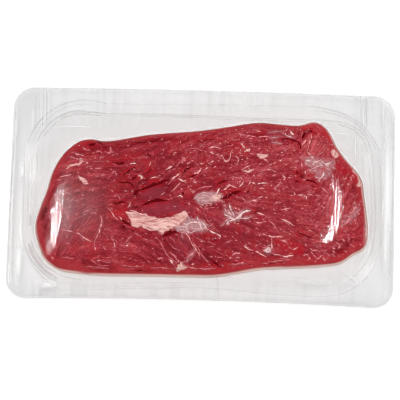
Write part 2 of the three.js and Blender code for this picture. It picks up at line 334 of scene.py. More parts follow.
# thick pieces of fat: picture points with the half width in picture points
fatBodies = {
    "strip": [(127.5, 212.5, 1.6), (131, 213.5, 2.8), (136.5, 219.5, 7), (145, 222, 6.6), (155, 223.8, 6.4),
              (164, 225, 6.8), (172, 222.8, 5.2), (178, 219.8, 5.3), (183, 216.5, 4.6), (186, 216.5, 2.4)],
    "stripFoot": [(160, 229, 3), (163.5, 231.5, 1.6)],
    "stripCorner": [(133.5, 225.5, 1.6), (138, 226, 2)],
    "patch": [(211, 199.5, 2), (214, 198.6, 3), (217, 197.6, 2.6), (219.5, 196.5, 1.6)],
    "triangle": [(178, 269.5, 1.4), (179.5, 267.5, 2.4), (181.5, 266.5, 2.6), (184.5, 267.5, 1)],
    "triangleTop": [(180.5, 266, 2), (181, 262.5, 1.2)],
    "bird": [(69, 166.3, 0.7), (73, 165.2, 1.1), (78, 164.4, 1.2), (80, 162, 1.2), (81, 160, 1.4)],
    "leaf": [(78.5, 175.5, 0.6), (81, 178.5, 1.2), (85, 182, 1.8), (87, 183.3, 1)],
    "crescent": [(241.5, 143.2, 0.7), (243.5, 144.8, 1), (245.3, 147, 0.7)],
    "crescentFoot": [(245.5, 150.5, 0.8), (248, 149.8, 1.8), (249.3, 148, 0.7)],
    "wedge": [(258.5, 155.8, 1), (261, 156.8, 2.1), (264.5, 156.6, 1.6), (267.5, 155.3, 0.8)],
    "rightLeaf": [(244, 170.9, 0.6), (247.5, 170.6, 1.3), (250.5, 170, 1.4), (253.6, 169, 0.6)],
    "oval": [(334.9, 152.4, 2.5), (336.1, 155.4, 2.6)],
    "spot": [(140.6, 177, 1.1), (141.4, 178.6, 1.2)],
    "flag": [(264.5, 250.9, 0.7), (267.5, 250.9, 1.1), (270, 251, 1.2)],
    "rimHigh": [(353.4, 171.6, 1.5), (355.6, 173.4, 2), (358, 175.4, 1.5)],
    "rimLow": [(359, 178.5, 1.6), (360.4, 181.5, 2), (360.8, 184, 2), (358.4, 185.4, 1.5)],
}

# silverskin: picture points with the half width in picture points
skinBodies = {
    "stripEnd": [(179, 228.5, 2.6), (187, 226.5, 6), (194, 225.5, 7), (201, 225, 4.5)],
    "patchLeft": [(199, 198.5, 3.6), (203, 198.3, 5.2), (208, 198.3, 5), (213, 197.8, 4.4), (218, 197, 2.8)],
    "tuft": [(229, 213, 3.4), (233, 217, 3.2), (238, 216.5, 2.2)],
    "net": [(308, 161, 3), (316, 163, 4.5), (325, 164, 4.5), (332, 164, 2.6)],
    "netLow": [(314, 170, 3.4), (321, 174, 4), (328, 173, 2.6)],
    "edgePatch": [(343.5, 225, 1.2), (348.5, 219, 2.2), (353.5, 214.5, 2), (358.5, 210, 1.4)],
    "nearHaze": [(187, 258.5, 0.7), (191.5, 254.5, 1.2), (195, 251, 1.1)],
}

# how hazy each of them is
mistShares = {
    "stripEnd": 1.0, "patchLeft": 1.0, "tuft": 0.7, "net": 0.5, "netLow": 0.25, "edgePatch": 0.6,
    "nearHaze": 0.15,
}

# a mark is its half width in mm, its strength, and the picture points that it passes

# dark lines where bundles part, by depth: a dip in the meat whose dark red is partly the meat's own and partly
# painted shade
clefts = [
    # oval
    (0.34, 0.8, 112, 162.5, 117, 163), (0.75, 1, 117, 163, 120, 163.7, 124, 162.7),
    (0.25, 0.5, 116, 160.5, 122, 158.5, 128, 156.6, 133, 156.5),
    (0.5, 1, 123, 175, 126, 173, 130, 170.5, 136, 167), (0.6, 0.8, 132, 180, 133.5, 178, 137, 177),
    (0.4, 0.9, 117, 181.5, 121, 182.5, 128, 182, 131.5, 184.5, 135, 188.5),
    (0.45, 0.7, 146, 154, 149.5, 154.5, 151.5, 157), (0.5, 0.7, 157.3, 153, 158, 156.5),
    (0.4, 0.7, 152, 167, 150.5, 170, 147, 172.5, 144.5, 174.5), (0.4, 0.8, 142, 157.8, 144.3, 158.4),
    # lens
    (0.85, 1, 135.5, 197, 136, 192.5, 138, 190),
    (0.62, 1, 136.5, 190.3, 142, 189, 150, 186.4, 158, 183.5, 164, 181, 169.5, 179.5),
    (0.45, 0.7, 151, 184, 154, 182.7, 158, 183),
    (0.62, 1, 142, 205, 148, 203, 153, 201, 158, 200.4, 168, 200.4),
    (0.6, 0.9, 154.5, 199.4, 158, 199, 161, 199.6),
    # middle
    (0.7, 0.9, 182, 173, 185, 171, 187.5, 169, 191, 168), (0.35, 0.7, 188, 178, 192, 176, 196, 175, 199, 173),
    (0.6, 1, 181.5, 192.5, 183.5, 194), (0.35, 0.7, 177, 193.5, 179.5, 193.5),
    (0.35, 0.8, 184, 204.5, 187.5, 204.5), (0.3, 0.7, 201, 206.5, 204, 206), (0.4, 0.6, 201, 172, 203, 171),
    (0.35, 0.6, 212, 167, 215, 165.5),
    # strip side
    (0.55, 0.9, 112, 203, 117, 203.5, 121, 202, 126, 202.5), (0.6, 0.9, 121.5, 219, 125, 222, 130.5, 225.5),
    (0.6, 0.8, 122.5, 227, 125.5, 226), (0.4, 0.7, 130.5, 229.8, 134.5, 232), (0.3, 0.6, 126, 206.5, 128, 205),
    (0.7, 1, 160.5, 232.7, 164.5, 235, 168.5, 234, 173, 232.3, 177, 231.8), (0.55, 0.9, 168, 230.6, 171.5, 232),
    (0.35, 0.7, 145.5, 228.7, 148, 228.9),
    # near
    (0.3, 0.9, 191, 239, 193.5, 243.5, 197, 248, 201, 252.5), (0.28, 0.6, 196, 243, 200, 248, 205, 253.4),
    (0.45, 0.7, 210, 258, 214, 262, 219, 265.5, 224, 267), (0.35, 0.7, 203, 234, 206, 236.5),
    (0.4, 0.8, 211, 238, 214, 239.5, 217.5, 240.5), (0.35, 0.6, 216, 252.5, 220, 255, 222.5, 256.3),
    (0.35, 0.6, 224, 251, 228, 253.5, 230.5, 256),
    # patch side
    (0.75, 1, 221, 198.7, 226, 197, 231, 194.5, 236, 192.5, 241, 190.8),
    (0.5, 0.9, 217, 185, 221, 182.5, 225, 181, 230, 180.4), (0.5, 0.8, 246, 193, 248, 191.5, 250, 189.5),
    (0.35, 0.7, 252, 192, 255, 191, 257, 190.5), (0.4, 0.8, 232.5, 208.5, 234, 210.5),
    (0.45, 0.8, 256, 211, 261.5, 210.5),
    # right
    (0.5, 0.75, 295, 229, 299, 232.5, 304, 235, 308, 236.5, 314.5, 238.7),
    (0.5, 0.9, 305, 180.5, 310, 180.5, 314, 182, 317.5, 184.7), (0.35, 0.7, 310, 185, 314, 187, 316, 189),
    (0.6, 0.8, 294.5, 180.5, 299, 181.3), (0.6, 0.8, 296, 171, 298.5, 174),
    (0.4, 0.7, 299, 160.5, 301.5, 158.3), (0.4, 0.7, 277, 217, 278.7, 219.7),
    (0.35, 0.6, 286, 202, 288.3, 200.3), (0.8, 0.5, 300.5, 176, 303, 177),
    # knob
    (0.45, 0.9, 281, 139, 288, 139, 294, 140.5, 298, 142, 300, 145, 301, 150),
    (0.65, 0.9, 302, 138.5, 304, 135, 306, 132), (0.6, 0.8, 306, 131.5, 309, 130.8, 312.5, 131.5),
    (0.4, 0.7, 314, 133.2, 317, 132),
    # left rim
    (0.5, 0.8, 62.6, 179.6, 64.6, 182.4), (0.3, 0.6, 59.6, 177, 61, 177.8),
    # far rim
    (0.6, 0.9, 87, 146, 91.5, 144.7, 96, 143.3), (0.45, 0.9, 96, 141.5, 100, 143, 103.5, 144.8),
    (0.45, 0.8, 104, 148, 106.5, 147), (0.45, 0.9, 98.6, 153, 101, 153), (0.3, 0.7, 114, 151, 115, 148),
    (0.4, 0.8, 117, 145.2, 118, 143.8), (0.35, 0.7, 135, 142.6, 150, 141.4, 165, 139.8),
    (0.3, 0.5, 170, 139.5, 188, 137, 205, 134.8), (0.4, 0.6, 196, 140.5, 204, 139.8, 212, 139.6, 219, 141),
    # near rim
    (0.26, 0.9, 92, 268, 104, 269, 116, 269.6), (0.22, 0.9, 128, 270, 142, 271, 152, 271.2),
    (0.3, 0.6, 95, 258, 104, 258.4, 111, 259), (0.6, 0.5, 91, 232.5, 94, 231.5),
    (0.4, 0.5, 232, 262.6, 242, 262.8), (0.35, 0.6, 262, 264, 272, 263.3, 284, 262),
]

# fat strands and flecks, by paleness
fatMarks = [
    # oval
    (0.5, 0.9, 130, 164, 133, 163.5, 136.2, 163.5), (0.4, 0.5, 126, 165.6, 127.6, 164.3),
    (0.36, 0.7, 151.2, 161.6, 150.5, 164, 149.4, 166), (0.4, 0.3, 148.5, 143.6, 150.2, 142.5),
    (0.4, 0.35, 127, 146.2, 129.2, 145.4), (0.42, 0.75, 151.6, 177.8, 154.5, 177, 158.2, 177.5),
    (0.35, 0.35, 159, 179, 163.2, 178.5), (0.45, 0.6, 162.2, 173.4, 164, 174.2),
    (0.45, 0.65, 141.8, 182.7, 143.2, 183.6), (0.4, 0.3, 144.5, 181.5, 146, 182.5),
    (0.5, 0.5, 132, 190, 133.6, 191.6), (0.35, 0.25, 139.5, 193.2, 141.2, 192.2),
    (0.42, 0.35, 117, 194, 119, 196.5, 120.6, 199.6), (0.4, 0.4, 139, 158.4, 140.5, 159.2),
    (0.35, 0.4, 143.4, 156.7, 144.7, 157.2), (0.42, 0.35, 170, 151, 173, 150, 176.4, 149.4),
    (0.6, 0.3, 165, 143.4, 168, 142.5, 170.4, 141), (0.36, 0.3, 142, 178.6, 146, 178.4),
    # middle
    (0.4, 0.72, 166.2, 169.4, 169, 168, 172.8, 165.8), (0.35, 0.5, 172, 170, 174.5, 168.8, 176.4, 167.8),
    (0.45, 0.6, 168.4, 173, 169.5, 171, 170.2, 170),
    (0.42, 0.65, 171, 180, 174, 177.5, 177, 175.5, 179.8, 173.2),
    (0.5, 0.8, 177.8, 178.8, 180.2, 179.6, 182.4, 180.8, 185.4, 180),
    (0.42, 0.55, 171.4, 191.2, 174.5, 189, 177.5, 185.5, 180, 182.6),
    (0.5, 0.75, 161.4, 194.8, 163, 193.8, 164.8, 192.3),
    (0.42, 0.72, 177.2, 197.2, 179, 196, 180.6, 195.5, 182.8, 197.6), (0.5, 0.6, 148.8, 200.4, 150, 200.5),
    (0.4, 0.75, 130.1, 202.2, 130.3, 204, 129, 206.5, 127.6, 208.2), (0.7, 0.9, 188, 203, 190.2, 204.2),
    (0.5, 0.65, 195.8, 207.6, 197.4, 208.5, 199.3, 210.2),
    (0.42, 0.5, 186.3, 164.2, 188.5, 162.7, 190.3, 161.4), (0.36, 0.45, 191, 161.3, 193.4, 159.8),
    (0.5, 0.45, 198.5, 163.2, 200, 162.8), (0.42, 0.7, 193.8, 173.2, 197, 172.7, 199, 171.5, 200.8, 169.8),
    (0.36, 0.25, 185, 149.6, 190, 148.6, 196, 148.7, 200.5, 149.6), (0.42, 0.45, 189.6, 178.7, 192.8, 179),
    (0.45, 0.55, 193.6, 182.8, 197.4, 181.9), (0.36, 0.22, 181, 163, 185, 159.5, 189.4, 155.2),
    (0.36, 0.22, 175.6, 166.4, 181, 161.5, 185.6, 156.6), (0.36, 0.35, 190, 191.2, 194.5, 190.2),
    (0.36, 0.4, 197.3, 188.8, 200, 188, 204, 186.8, 208, 186.6, 212.4, 186), (0.3, 0.25, 168, 184.5, 172, 180),
    (0.36, 0.35, 188.4, 186, 189.6, 187),
    # far
    (0.5, 0.62, 208.8, 148.2, 212, 147, 215, 146.8, 218, 147.5, 220.8, 148.7),
    (0.4, 0.35, 199.6, 144.4, 202.5, 145.5, 204.3, 147.2),
    (0.36, 0.6, 208.8, 151.9, 212, 153, 215, 154, 217, 154.6, 219.2, 157),
    (0.42, 0.7, 219.4, 156.8, 221, 155.8, 222.4, 155, 223.6, 158, 225.6, 161, 227.6, 161, 229.6, 158.5, 230.5,
     155), (0.3, 0.5, 230.4, 155.4, 231, 152, 232.8, 150.2),
    (0.32, 0.3, 225.6, 146.7, 229, 145.6, 232, 145.4, 233.8, 143.2), (0.36, 0.45, 239.3, 152.7, 243.2, 151.4),
    (0.36, 0.5, 250.8, 144.9, 253.8, 146.7), (0.45, 0.5, 249, 138.6, 252.3, 139),
    (0.4, 0.58, 234.8, 155.9, 237.5, 157.5, 239, 159.5, 238, 161.5, 236.8, 162.8),
    (0.42, 0.45, 234.3, 163.4, 237, 164, 240, 163.7, 242.4, 164.7), (0.42, 0.4, 230.4, 164.4, 232.3, 165.6),
    (0.5, 0.5, 246.3, 157.4, 248.2, 159.2), (0.36, 0.6, 241.8, 169.7, 245, 168, 247, 166.5, 250.4, 165.3),
    (0.65, 0.55, 262.8, 158.4, 266, 160.5, 268.4, 162.3), (0.42, 0.58, 267.6, 165.2, 271, 164, 275.4, 162.8),
    (0.45, 0.58, 266.6, 169.6, 271, 169.3, 273, 170, 274.8, 171.8),
    (0.4, 0.42, 271.8, 176.2, 275, 175, 276.4, 173.8), (0.6, 0.72, 278.8, 160.8, 281.3, 160),
    (0.34, 0.42, 256.6, 176.2, 259, 174.5, 262, 173, 263.4, 172.1), (0.42, 0.45, 252.8, 174.9, 255.2, 176.2),
    (0.5, 0.5, 218.8, 173.9, 221.2, 175.2), (0.34, 0.3, 222.8, 172.1, 225.3, 171.4),
    (0.5, 0.7, 196.8, 173.7, 199, 172.5, 200.8, 170.2), (0.36, 0.6, 205.8, 169.8, 207, 168, 208.8, 166.8),
    (0.5, 0.62, 200.2, 163.2, 202.4, 163.6, 203.8, 162.3), (0.42, 0.45, 206.8, 160.8, 208.8, 161.7),
    (0.42, 0.62, 210.2, 162.7, 212, 161.5, 213.9, 160.2), (0.34, 0.3, 212.8, 168.2, 215.3, 165.7),
    (0.32, 0.35, 229.6, 134, 236, 133.5, 242, 134.5, 250, 136, 258.5, 137.6),
    (0.5, 0.45, 251.8, 129.4, 254.3, 130.2), (0.42, 0.48, 255.8, 130.4, 258, 131, 261.4, 132.2),
    (0.36, 0.55, 259.6, 136.6, 264, 136.3, 270.6, 136.2), (0.6, 0.42, 257.7, 139.9, 260.3, 140.6),
    (0.7, 0.32, 275.3, 140.9, 278.3, 141.8), (0.36, 0.3, 200, 150.4, 205, 150.2),
    (0.3, 0.3, 240, 139.2, 236, 139.6, 231, 140),
    # left
    (0.5, 0.55, 76.2, 158.3, 80, 160, 83, 161, 86, 161.2), (0.6, 0.6, 85.6, 161.2, 88.4, 163.6),
    (0.4, 0.5, 65.6, 168.7, 68, 168, 70, 166.2), (0.42, 0.72, 74.8, 152.8, 78, 154.2, 81, 155, 83.8, 155.6),
    (0.42, 0.5, 68.8, 155.9, 71, 156.7, 74.3, 158.2), (0.36, 0.3, 70.8, 151.9, 75.3, 152.8),
    (0.42, 0.42, 81.8, 147.4, 86, 149, 90.4, 150.2), (0.42, 0.6, 59.6, 177.2, 64, 176, 67, 175, 71.4, 174.4),
    (0.34, 0.35, 56.8, 179.4, 61.3, 180.2), (0.5, 0.45, 76.7, 173.1, 79.3, 172.4),
    (0.5, 0.5, 83.6, 183.4, 88.6, 183.8), (0.36, 0.4, 76.2, 178.2, 79.2, 177.4),
    (0.5, 0.78, 100.2, 157.7, 102.5, 156.5, 103.8, 157.1), (0.3, 0.45, 94.2, 161.1, 98, 160.5, 104.4, 161.6),
    (0.3, 0.35, 105.8, 161.4, 109.8, 162.1), (0.42, 0.5, 89.8, 167.9, 92.3, 168.6),
    (0.34, 0.5, 95.8, 168.4, 98, 168, 101.4, 167.7), (0.34, 0.4, 94.8, 176.1, 98.3, 175.7),
    (0.38, 0.5, 100.8, 176.2, 104.3, 174.3), (0.42, 0.4, 111.8, 173.2, 114.5, 171, 116.3, 172.2),
    (0.38, 0.42, 95.8, 152.2, 98, 151.5, 100.5, 151.4, 101.3, 153.2),
    (0.8, 0.22, 110, 146.8, 111, 150, 110.4, 154.3), (0.42, 0.5, 91.8, 190.2, 93.8, 189.3),
    (0.42, 0.4, 81.3, 193.8, 83.3, 195.8), (0.34, 0.4, 87.8, 172.3, 89.3, 173.8),
    (0.34, 0.4, 110.8, 189.8, 112.8, 191.8), (0.5, 0.4, 63.8, 191.4, 67, 192.5, 70.3, 194.2),
    (0.4, 0.35, 106, 153, 110, 152.2, 114, 151.2), (0.3, 0.3, 92, 153, 95, 152.6),
    # left near
    (0.45, 0.6, 100.4, 215.6, 101.5, 219, 101.5, 223, 100.5, 227, 99.5, 231, 97.5, 234.5, 95.5, 239, 94.3,
     242.8), (0.4, 0.45, 94, 243, 94.5, 246, 95.2, 250),
    (0.4, 0.45, 61.6, 229.4, 65, 230, 69, 230.5, 72.4, 231.6),
    (0.45, 0.62, 76.6, 232.8, 80, 234, 82.5, 236, 85, 238, 88, 239.5, 91.4, 241.2),
    (0.42, 0.45, 94.8, 210.6, 97.3, 209.9), (0.34, 0.3, 91.8, 210.8, 94.5, 213, 96.3, 214.2),
    (0.36, 0.35, 88.7, 217.6, 90.3, 216.9),
    (0.42, 0.55, 107.8, 208.3, 110, 209.5, 112, 213, 114, 216, 117, 219, 118.3, 219.7),
    (0.42, 0.4, 110.8, 207.8, 112.3, 209.7), (0.42, 0.5, 111.8, 235.8, 113.5, 239, 112.8, 241.3),
    (0.55, 0.65, 113.8, 242.8, 115, 245.5, 113.3, 247.8), (0.3, 0.4, 114.8, 240.3, 116.8, 242.3),
    (0.34, 0.35, 113.8, 249.7, 114.7, 252.8), (0.34, 0.35, 104.7, 229, 108, 229, 111.3, 229),
    (0.28, 0.2, 102.8, 231.8, 106, 235, 108.3, 238.8), (0.5, 0.25, 102.8, 245.8, 105.3, 249.8),
    (0.5, 0.65, 96.7, 261.2, 99, 260, 100.8, 260.3), (0.34, 0.3, 101.8, 260.9, 107, 262, 111.3, 262.6),
    (0.42, 0.35, 98.7, 264.8, 103, 267.5, 106.3, 268.7), (0.32, 0.3, 90.8, 259.8, 95, 263, 98.3, 265.2),
    (0.36, 0.5, 131.8, 236.2, 129, 238.5, 125.8, 242.2), (0.34, 0.4, 124.2, 243.6, 127, 243, 131.3, 243.6),
    (0.6, 0.65, 125.8, 245.7, 128.3, 244.9), (0.42, 0.4, 120.8, 244.9, 122.8, 245.6),
    (0.42, 0.45, 143.7, 238.3, 147, 239.7, 150, 240.3, 153.8, 241.3), (0.34, 0.3, 142.8, 245.9, 145.3, 246.6),
    (0.34, 0.35, 134.8, 232.8, 138, 235, 140.8, 236.2), (0.5, 0.3, 156.7, 259.2, 160, 258.5, 163.3, 257.9),
    (0.42, 0.25, 127.7, 259.1, 131.3, 258.4), (0.3, 0.3, 173.8, 247.8, 177, 249.5, 180.3, 251.2),
    (0.36, 0.4, 169.8, 236.8, 172.5, 239, 174.3, 241.3), (0.5, 0.85, 119.2, 216.4, 120.5, 217.6, 122.2, 219.8),
    (0.42, 0.5, 112, 212.6, 113.2, 214), (0.55, 0.35, 49, 216.6, 50, 219),
    (0.5, 0.45, 50.6, 256.6, 53.2, 259.4), (0.36, 0.3, 62, 257.6, 68, 258, 74, 258.6),
    (0.4, 0.25, 66, 243, 71, 244.4),
    # strip
    (0.4, 0.8, 129.5, 209.9, 134, 211, 140, 213.3, 146, 215.6, 152, 216.6),
    (0.4, 0.9, 148, 226.4, 151, 227.8, 154, 229.4), (0.3, 0.3, 147, 229.6, 150, 230.6),
    (0.2, 0.2, 133, 211.6, 138, 214, 143, 216, 148, 217), (0.2, 0.25, 132, 213.2, 137, 216, 142, 217.6),
    (0.24, 0.1, 148, 220.4, 153, 222, 157.4, 221.4), (0.18, 0.3, 144.5, 218, 150, 219.4),
    (0.24, 0.1, 171.8, 217.2, 176, 216, 178.4, 215.4), (0.24, 0.0, 145.8, 226.6, 149, 228, 152.2, 229.3),
    (0.18, 0.3, 139, 221, 144, 223.4, 150, 225), (0.18, 0.3, 164, 221.4, 170, 220.6, 176, 218.4),
    (0.24, 0.1, 167, 227.6, 171, 225.8), (0.5, 0.4, 160, 233.2, 163, 234.2),
    (0.3, 0.7, 126.4, 213.4, 129, 215, 132.6, 217.2),
    # tail
    (0.46, 0.85, 203.4, 226.6, 206, 228.6, 209, 230.6, 213, 232.5, 217, 234, 219.6, 235.5, 220.7, 237.2),
    (0.3, 0.6, 220.4, 237, 218.8, 238.4), (0.3, 0.3, 206, 227.5, 211, 229, 214.4, 228.4),
    (0.3, 0.25, 203, 212, 206, 217, 209, 222, 213, 226, 215.3, 229.8),
    (0.3, 0.25, 200.6, 207, 205, 208.5, 211, 208, 215.3, 207),
    # fork
    (0.4, 0.5, 183, 231, 187, 234, 189.5, 238, 192, 243, 195, 248, 198, 252, 203, 256.5, 208.4, 262),
    (0.55, 0.4, 195, 250, 192, 254, 189, 257, 186.6, 260), (0.34, 0.4, 196.6, 251.6, 199, 255, 200.2, 258.4),
    (0.3, 0.35, 160.3, 240.7, 163, 247, 165.6, 252.8), (0.42, 0.45, 169.7, 251.7, 173, 255.5, 177.3, 259.8),
    (0.36, 0.45, 164.8, 252.8, 170, 257.5, 175, 261.5, 177.3, 263.2),
    (0.55, 0.8, 169.3, 259.8, 172, 262.5, 173.3, 264.8), (0.36, 0.4, 172.8, 264.3, 175, 267, 176.8, 269.3),
    (0.4, 0.5, 182.8, 262.2, 186.3, 260.3), (0.4, 0.6, 179.2, 262.3, 177.9, 259.8),
    (0.42, 0.4, 186.8, 265.8, 190, 267.5, 193, 268, 197.4, 268.6), (0.42, 0.5, 191.3, 264.2, 193.8, 263.4),
    (0.28, 0.2, 168.8, 241.8, 172, 246, 174.3, 249.2), (0.25, 0.22, 156, 236, 160, 242, 163.6, 249),
    (0.25, 0.2, 178, 238, 182, 244),
    # patch
    (0.36, 0.9, 215.8, 196.2, 217.7, 192, 219.4, 188.3), (0.5, 0.65, 206.6, 203, 209, 203.5, 212.3, 203),
    (0.25, 0.3, 219, 200, 222.6, 200.4), (0.62, 0.62, 223.8, 189.8, 227, 188, 229, 186, 232, 186.4, 235, 187.5),
    (0.36, 0.5, 234, 187.4, 239.4, 188.6), (0.5, 0.3, 225.3, 191.8, 228.3, 194.2),
    (0.4, 0.3, 228, 190, 233, 190.4),
    # tuft right
    (0.4, 0.66, 241.8, 197.7, 245, 201, 248, 202.5, 252, 200.7, 256, 200, 257.2, 198.5, 260, 197.5, 264, 196.8,
     267.4, 197.8), (0.3, 0.35, 236, 196.4, 239, 197.6, 242, 198),
    (0.55, 0.72, 239.3, 187.2, 242, 184, 243.7, 181.2),
    (0.42, 0.55, 246.7, 182.2, 249, 180.5, 250.2, 182.5, 248.8, 184.8), (0.55, 0.7, 251.8, 182.4, 255.3, 184.2),
    (0.4, 0.85, 257.2, 184.1, 262, 183.5, 267.5, 182.9),
    (0.34, 0.45, 231.7, 180.7, 234, 178.5, 238, 177.5, 241.3, 178.6),
    (0.42, 0.6, 240.3, 176.7, 241.5, 180, 243.3, 181.8), (0.4, 0.5, 259.7, 188.6, 264.3, 188.4),
    (0.4, 0.72, 257.2, 212.9, 260, 213.5, 264.4, 214.6),
    (0.38, 0.55, 256.7, 221.8, 260, 223, 263, 222.3, 266.4, 221.4), (0.34, 0.4, 255.8, 227.8, 258.3, 229.7),
    (0.4, 0.6, 262.8, 232.8, 265, 234.5, 267.3, 235.7), (0.42, 0.75, 268.8, 234.9, 272, 236.5, 275.3, 236.5),
    (0.34, 0.38, 245.2, 233.7, 247, 232.5, 250.4, 229.8), (0.42, 0.5, 227.8, 242.2, 229.5, 241, 231.8, 240.4),
    (0.45, 0.4, 234.6, 207.2, 237.5, 209, 240.3, 210.5), (0.34, 0.5, 252.8, 218.6, 258, 218.4),
    (0.4, 0.4, 268, 217.6, 270, 217.2), (0.3, 0.3, 238.6, 199.2, 240.4, 198.6),
    (0.34, 0.35, 254.4, 203.6, 256.4, 206.4), (0.4, 0.4, 254, 187.8, 256, 188.4),
    # right
    (0.45, 0.8, 290.8, 195.6, 293, 195, 295.8, 193.9), (0.3, 0.7, 295, 194, 293.4, 192.7),
    (0.38, 0.8, 297.8, 194.6, 301, 195, 304, 195.5, 306.6, 196, 306, 197.5, 307.2, 198.8),
    (0.34, 0.6, 307.2, 194.6, 310, 194.3, 312.8, 195.7), (0.3, 0.42, 315.8, 194.8, 319, 196.5, 320.7, 197.7),
    (0.36, 0.68, 321.8, 187.7, 324, 190, 326, 191.5, 327.8, 193.3),
    (0.34, 0.55, 273.3, 189.2, 276, 187, 278, 185, 279.7, 182.7),
    (0.38, 0.6, 273.7, 188.3, 277, 190, 280.3, 191.2), (0.36, 0.35, 282.8, 187.8, 284.3, 189.3),
    (0.42, 0.5, 272.7, 208.7, 275.3, 210.7), (0.38, 0.42, 273.8, 204.2, 276.5, 202.5, 279.3, 201.3),
    (0.3, 0.45, 280.7, 209.6, 284, 209.5, 287, 208.5, 290.8, 207.9),
    (0.4, 0.5, 301.2, 209.2, 303, 208.3, 304.2, 209.8), (0.5, 0.62, 311.3, 213.8, 313.5, 214, 314.2, 215.8),
    (0.42, 0.5, 309.8, 218.8, 311.5, 220.3, 313.3, 220.6), (0.5, 0.45, 314.8, 224.7, 316.8, 226.6),
    (0.36, 0.6, 308.7, 230.9, 311, 231, 313.3, 232.2), (0.36, 0.4, 294.8, 234.8, 295.6, 236.2),
    (0.34, 0.5, 269.2, 220.2, 271.5, 223, 273.5, 225, 275, 227.5, 277.5, 230, 278.2, 232.4),
    (0.38, 0.68, 281.6, 219.4, 285, 220, 288, 221.5, 290.5, 223.5, 293.4, 225.8),
    (0.42, 0.5, 282.2, 230.8, 285, 232.3, 288, 233, 290.3, 234.7),
    (0.38, 0.58, 275.7, 237.2, 279, 236.3, 281.8, 237.2),
    (0.42, 0.45, 279.7, 239.8, 284, 241.5, 287, 243, 288.8, 244.8), (0.34, 0.42, 289.7, 243.2, 291.8, 242.6),
    (0.34, 0.5, 288.7, 247.3, 292, 249, 295, 248.5, 297.4, 247.3), (0.3, 0.35, 292, 188, 294, 188.6),
    (0.36, 0.35, 317, 204.4, 322, 206, 323.4, 205.2), (0.3, 0.3, 304, 205.6, 309, 205.4),
    (0.34, 0.4, 317, 198.8, 319.4, 198.6), (0.4, 0.4, 320, 233, 322.4, 236),
    # right far
    (0.6, 0.78, 290.3, 130.8, 291.5, 133.5, 294.4, 134.6), (0.45, 0.45, 288.8, 128.8, 290.2, 131.8),
    (0.36, 0.35, 279.7, 137.2, 284.3, 135.3), (0.45, 0.45, 286, 131.4, 287.2, 128.2),
    (0.5, 0.6, 311.6, 133.6, 311.5, 137, 310, 141, 309, 145, 308.4, 148.4),
    (0.5, 0.42, 308.5, 148, 307.5, 151, 309, 153.5, 311.3, 155.8),
    (0.55, 0.5, 305.2, 139.8, 304, 142.5, 302.5, 144, 301.3, 146.3),
    (0.4, 0.52, 318.2, 155.8, 320, 153.5, 323, 152.5, 324.5, 151, 325.5, 148.5, 324.3, 145.2),
    (0.34, 0.35, 319.7, 141.7, 318.5, 145, 316.5, 147.5, 315.2, 148.8), (0.34, 0.4, 325.7, 139.2, 327.3, 138.3),
    (0.42, 0.4, 323.2, 157.7, 324.4, 158.8), (0.4, 0.5, 333.8, 148.2, 335.3, 149.8),
    (0.5, 0.45, 301, 161.7, 301.5, 165, 302.2, 167.4), (0.34, 0.35, 295.2, 165.8, 297.3, 169.3),
    (0.65, 0.62, 305.5, 170.6, 305.6, 174.4), (0.38, 0.42, 303.2, 154.8, 301.5, 157, 297.7, 159.2),
    (0.34, 0.32, 291.8, 153.3, 293.8, 156.3), (0.42, 0.5, 285.2, 150.3, 288.3, 148.8),
    (0.36, 0.45, 294.2, 148.8, 295.8, 149.9), (0.5, 0.55, 281.7, 174.3, 284, 176, 285.5, 177.5, 283.3, 179.8),
    (0.42, 0.6, 287.7, 178.2, 290.8, 177.4), (0.34, 0.45, 277.2, 186.3, 280, 183.5, 281.2, 181.2),
    (0.34, 0.4, 341.8, 177.8, 344, 180), (0.34, 0.42, 343.8, 180.2, 347.3, 176.7),
    (0.4, 0.4, 295, 162.2, 298, 160.6), (0.36, 0.4, 283, 163, 287, 165), (0.36, 0.35, 292, 169.4, 296, 169),
    # right rim
    (0.6, 0.38, 341.8, 227.3, 345, 224, 348, 220.5, 351, 216, 354, 211.5),
    (0.5, 0.45, 345.7, 215.7, 349, 214, 352, 212, 355.8, 207.7, 360, 206.4),
    (0.5, 0.4, 342.8, 226.7, 348, 222.5, 352.3, 218.8), (0.42, 0.45, 352.8, 219.3, 355.2, 220.7, 354.4, 218.2),
    (0.55, 0.62, 356.3, 213.2, 358.5, 211, 360.3, 209.8), (0.42, 0.5, 357.8, 215.2, 359.2, 213.3),
    (0.4, 0.4, 353.2, 196.2, 354.8, 195.3), (0.42, 0.6, 347.8, 240.7, 350.3, 239.3),
    (0.34, 0.3, 346.8, 237.7, 349.3, 236.3), (0.4, 0.55, 356.6, 195.6, 358, 194.6),
    (0.45, 0.8, 360.3, 200.8, 361.7, 202.4),
    # right near
    (0.34, 0.42, 311.7, 251.2, 315, 250, 319, 250.7, 323.3, 249.8),
    (0.36, 0.42, 315.7, 247.3, 320, 249, 324, 252, 328, 254, 330.3, 256.3),
    (0.6, 0.6, 303.2, 255.2, 306, 254.3, 308.8, 255.7),
    (0.36, 0.5, 310.7, 251.8, 314, 255, 316, 258, 319, 258.5, 321, 256.5, 323.3, 254.8),
    (0.42, 0.45, 308.2, 256.8, 310.8, 259.3), (0.42, 0.6, 331.7, 247.8, 335.3, 248.7),
    (0.42, 0.5, 332.2, 250.3, 334.3, 252.3), (0.36, 0.5, 335.7, 241.8, 338.5, 244, 339.5, 247, 337.3, 248.9),
    (0.34, 0.4, 322.8, 258.3, 325.3, 260.8), (0.36, 0.62, 273.6, 254.4, 278, 255, 281.3, 255.6),
    (0.5, 0.8, 282.2, 255.4, 286, 256.5, 289, 255.5, 293.4, 254.9),
    (0.45, 0.66, 244.2, 245.3, 247, 247.5, 249, 248.8, 253.4, 250.2),
    (0.45, 0.7, 255.7, 251.3, 259, 253, 262, 255, 264.4, 255.9),
    (0.6, 0.8, 271.5, 248.8, 272.4, 247, 272, 244.2), (0.3, 0.5, 272, 244.5, 272, 240, 271.5, 237.2),
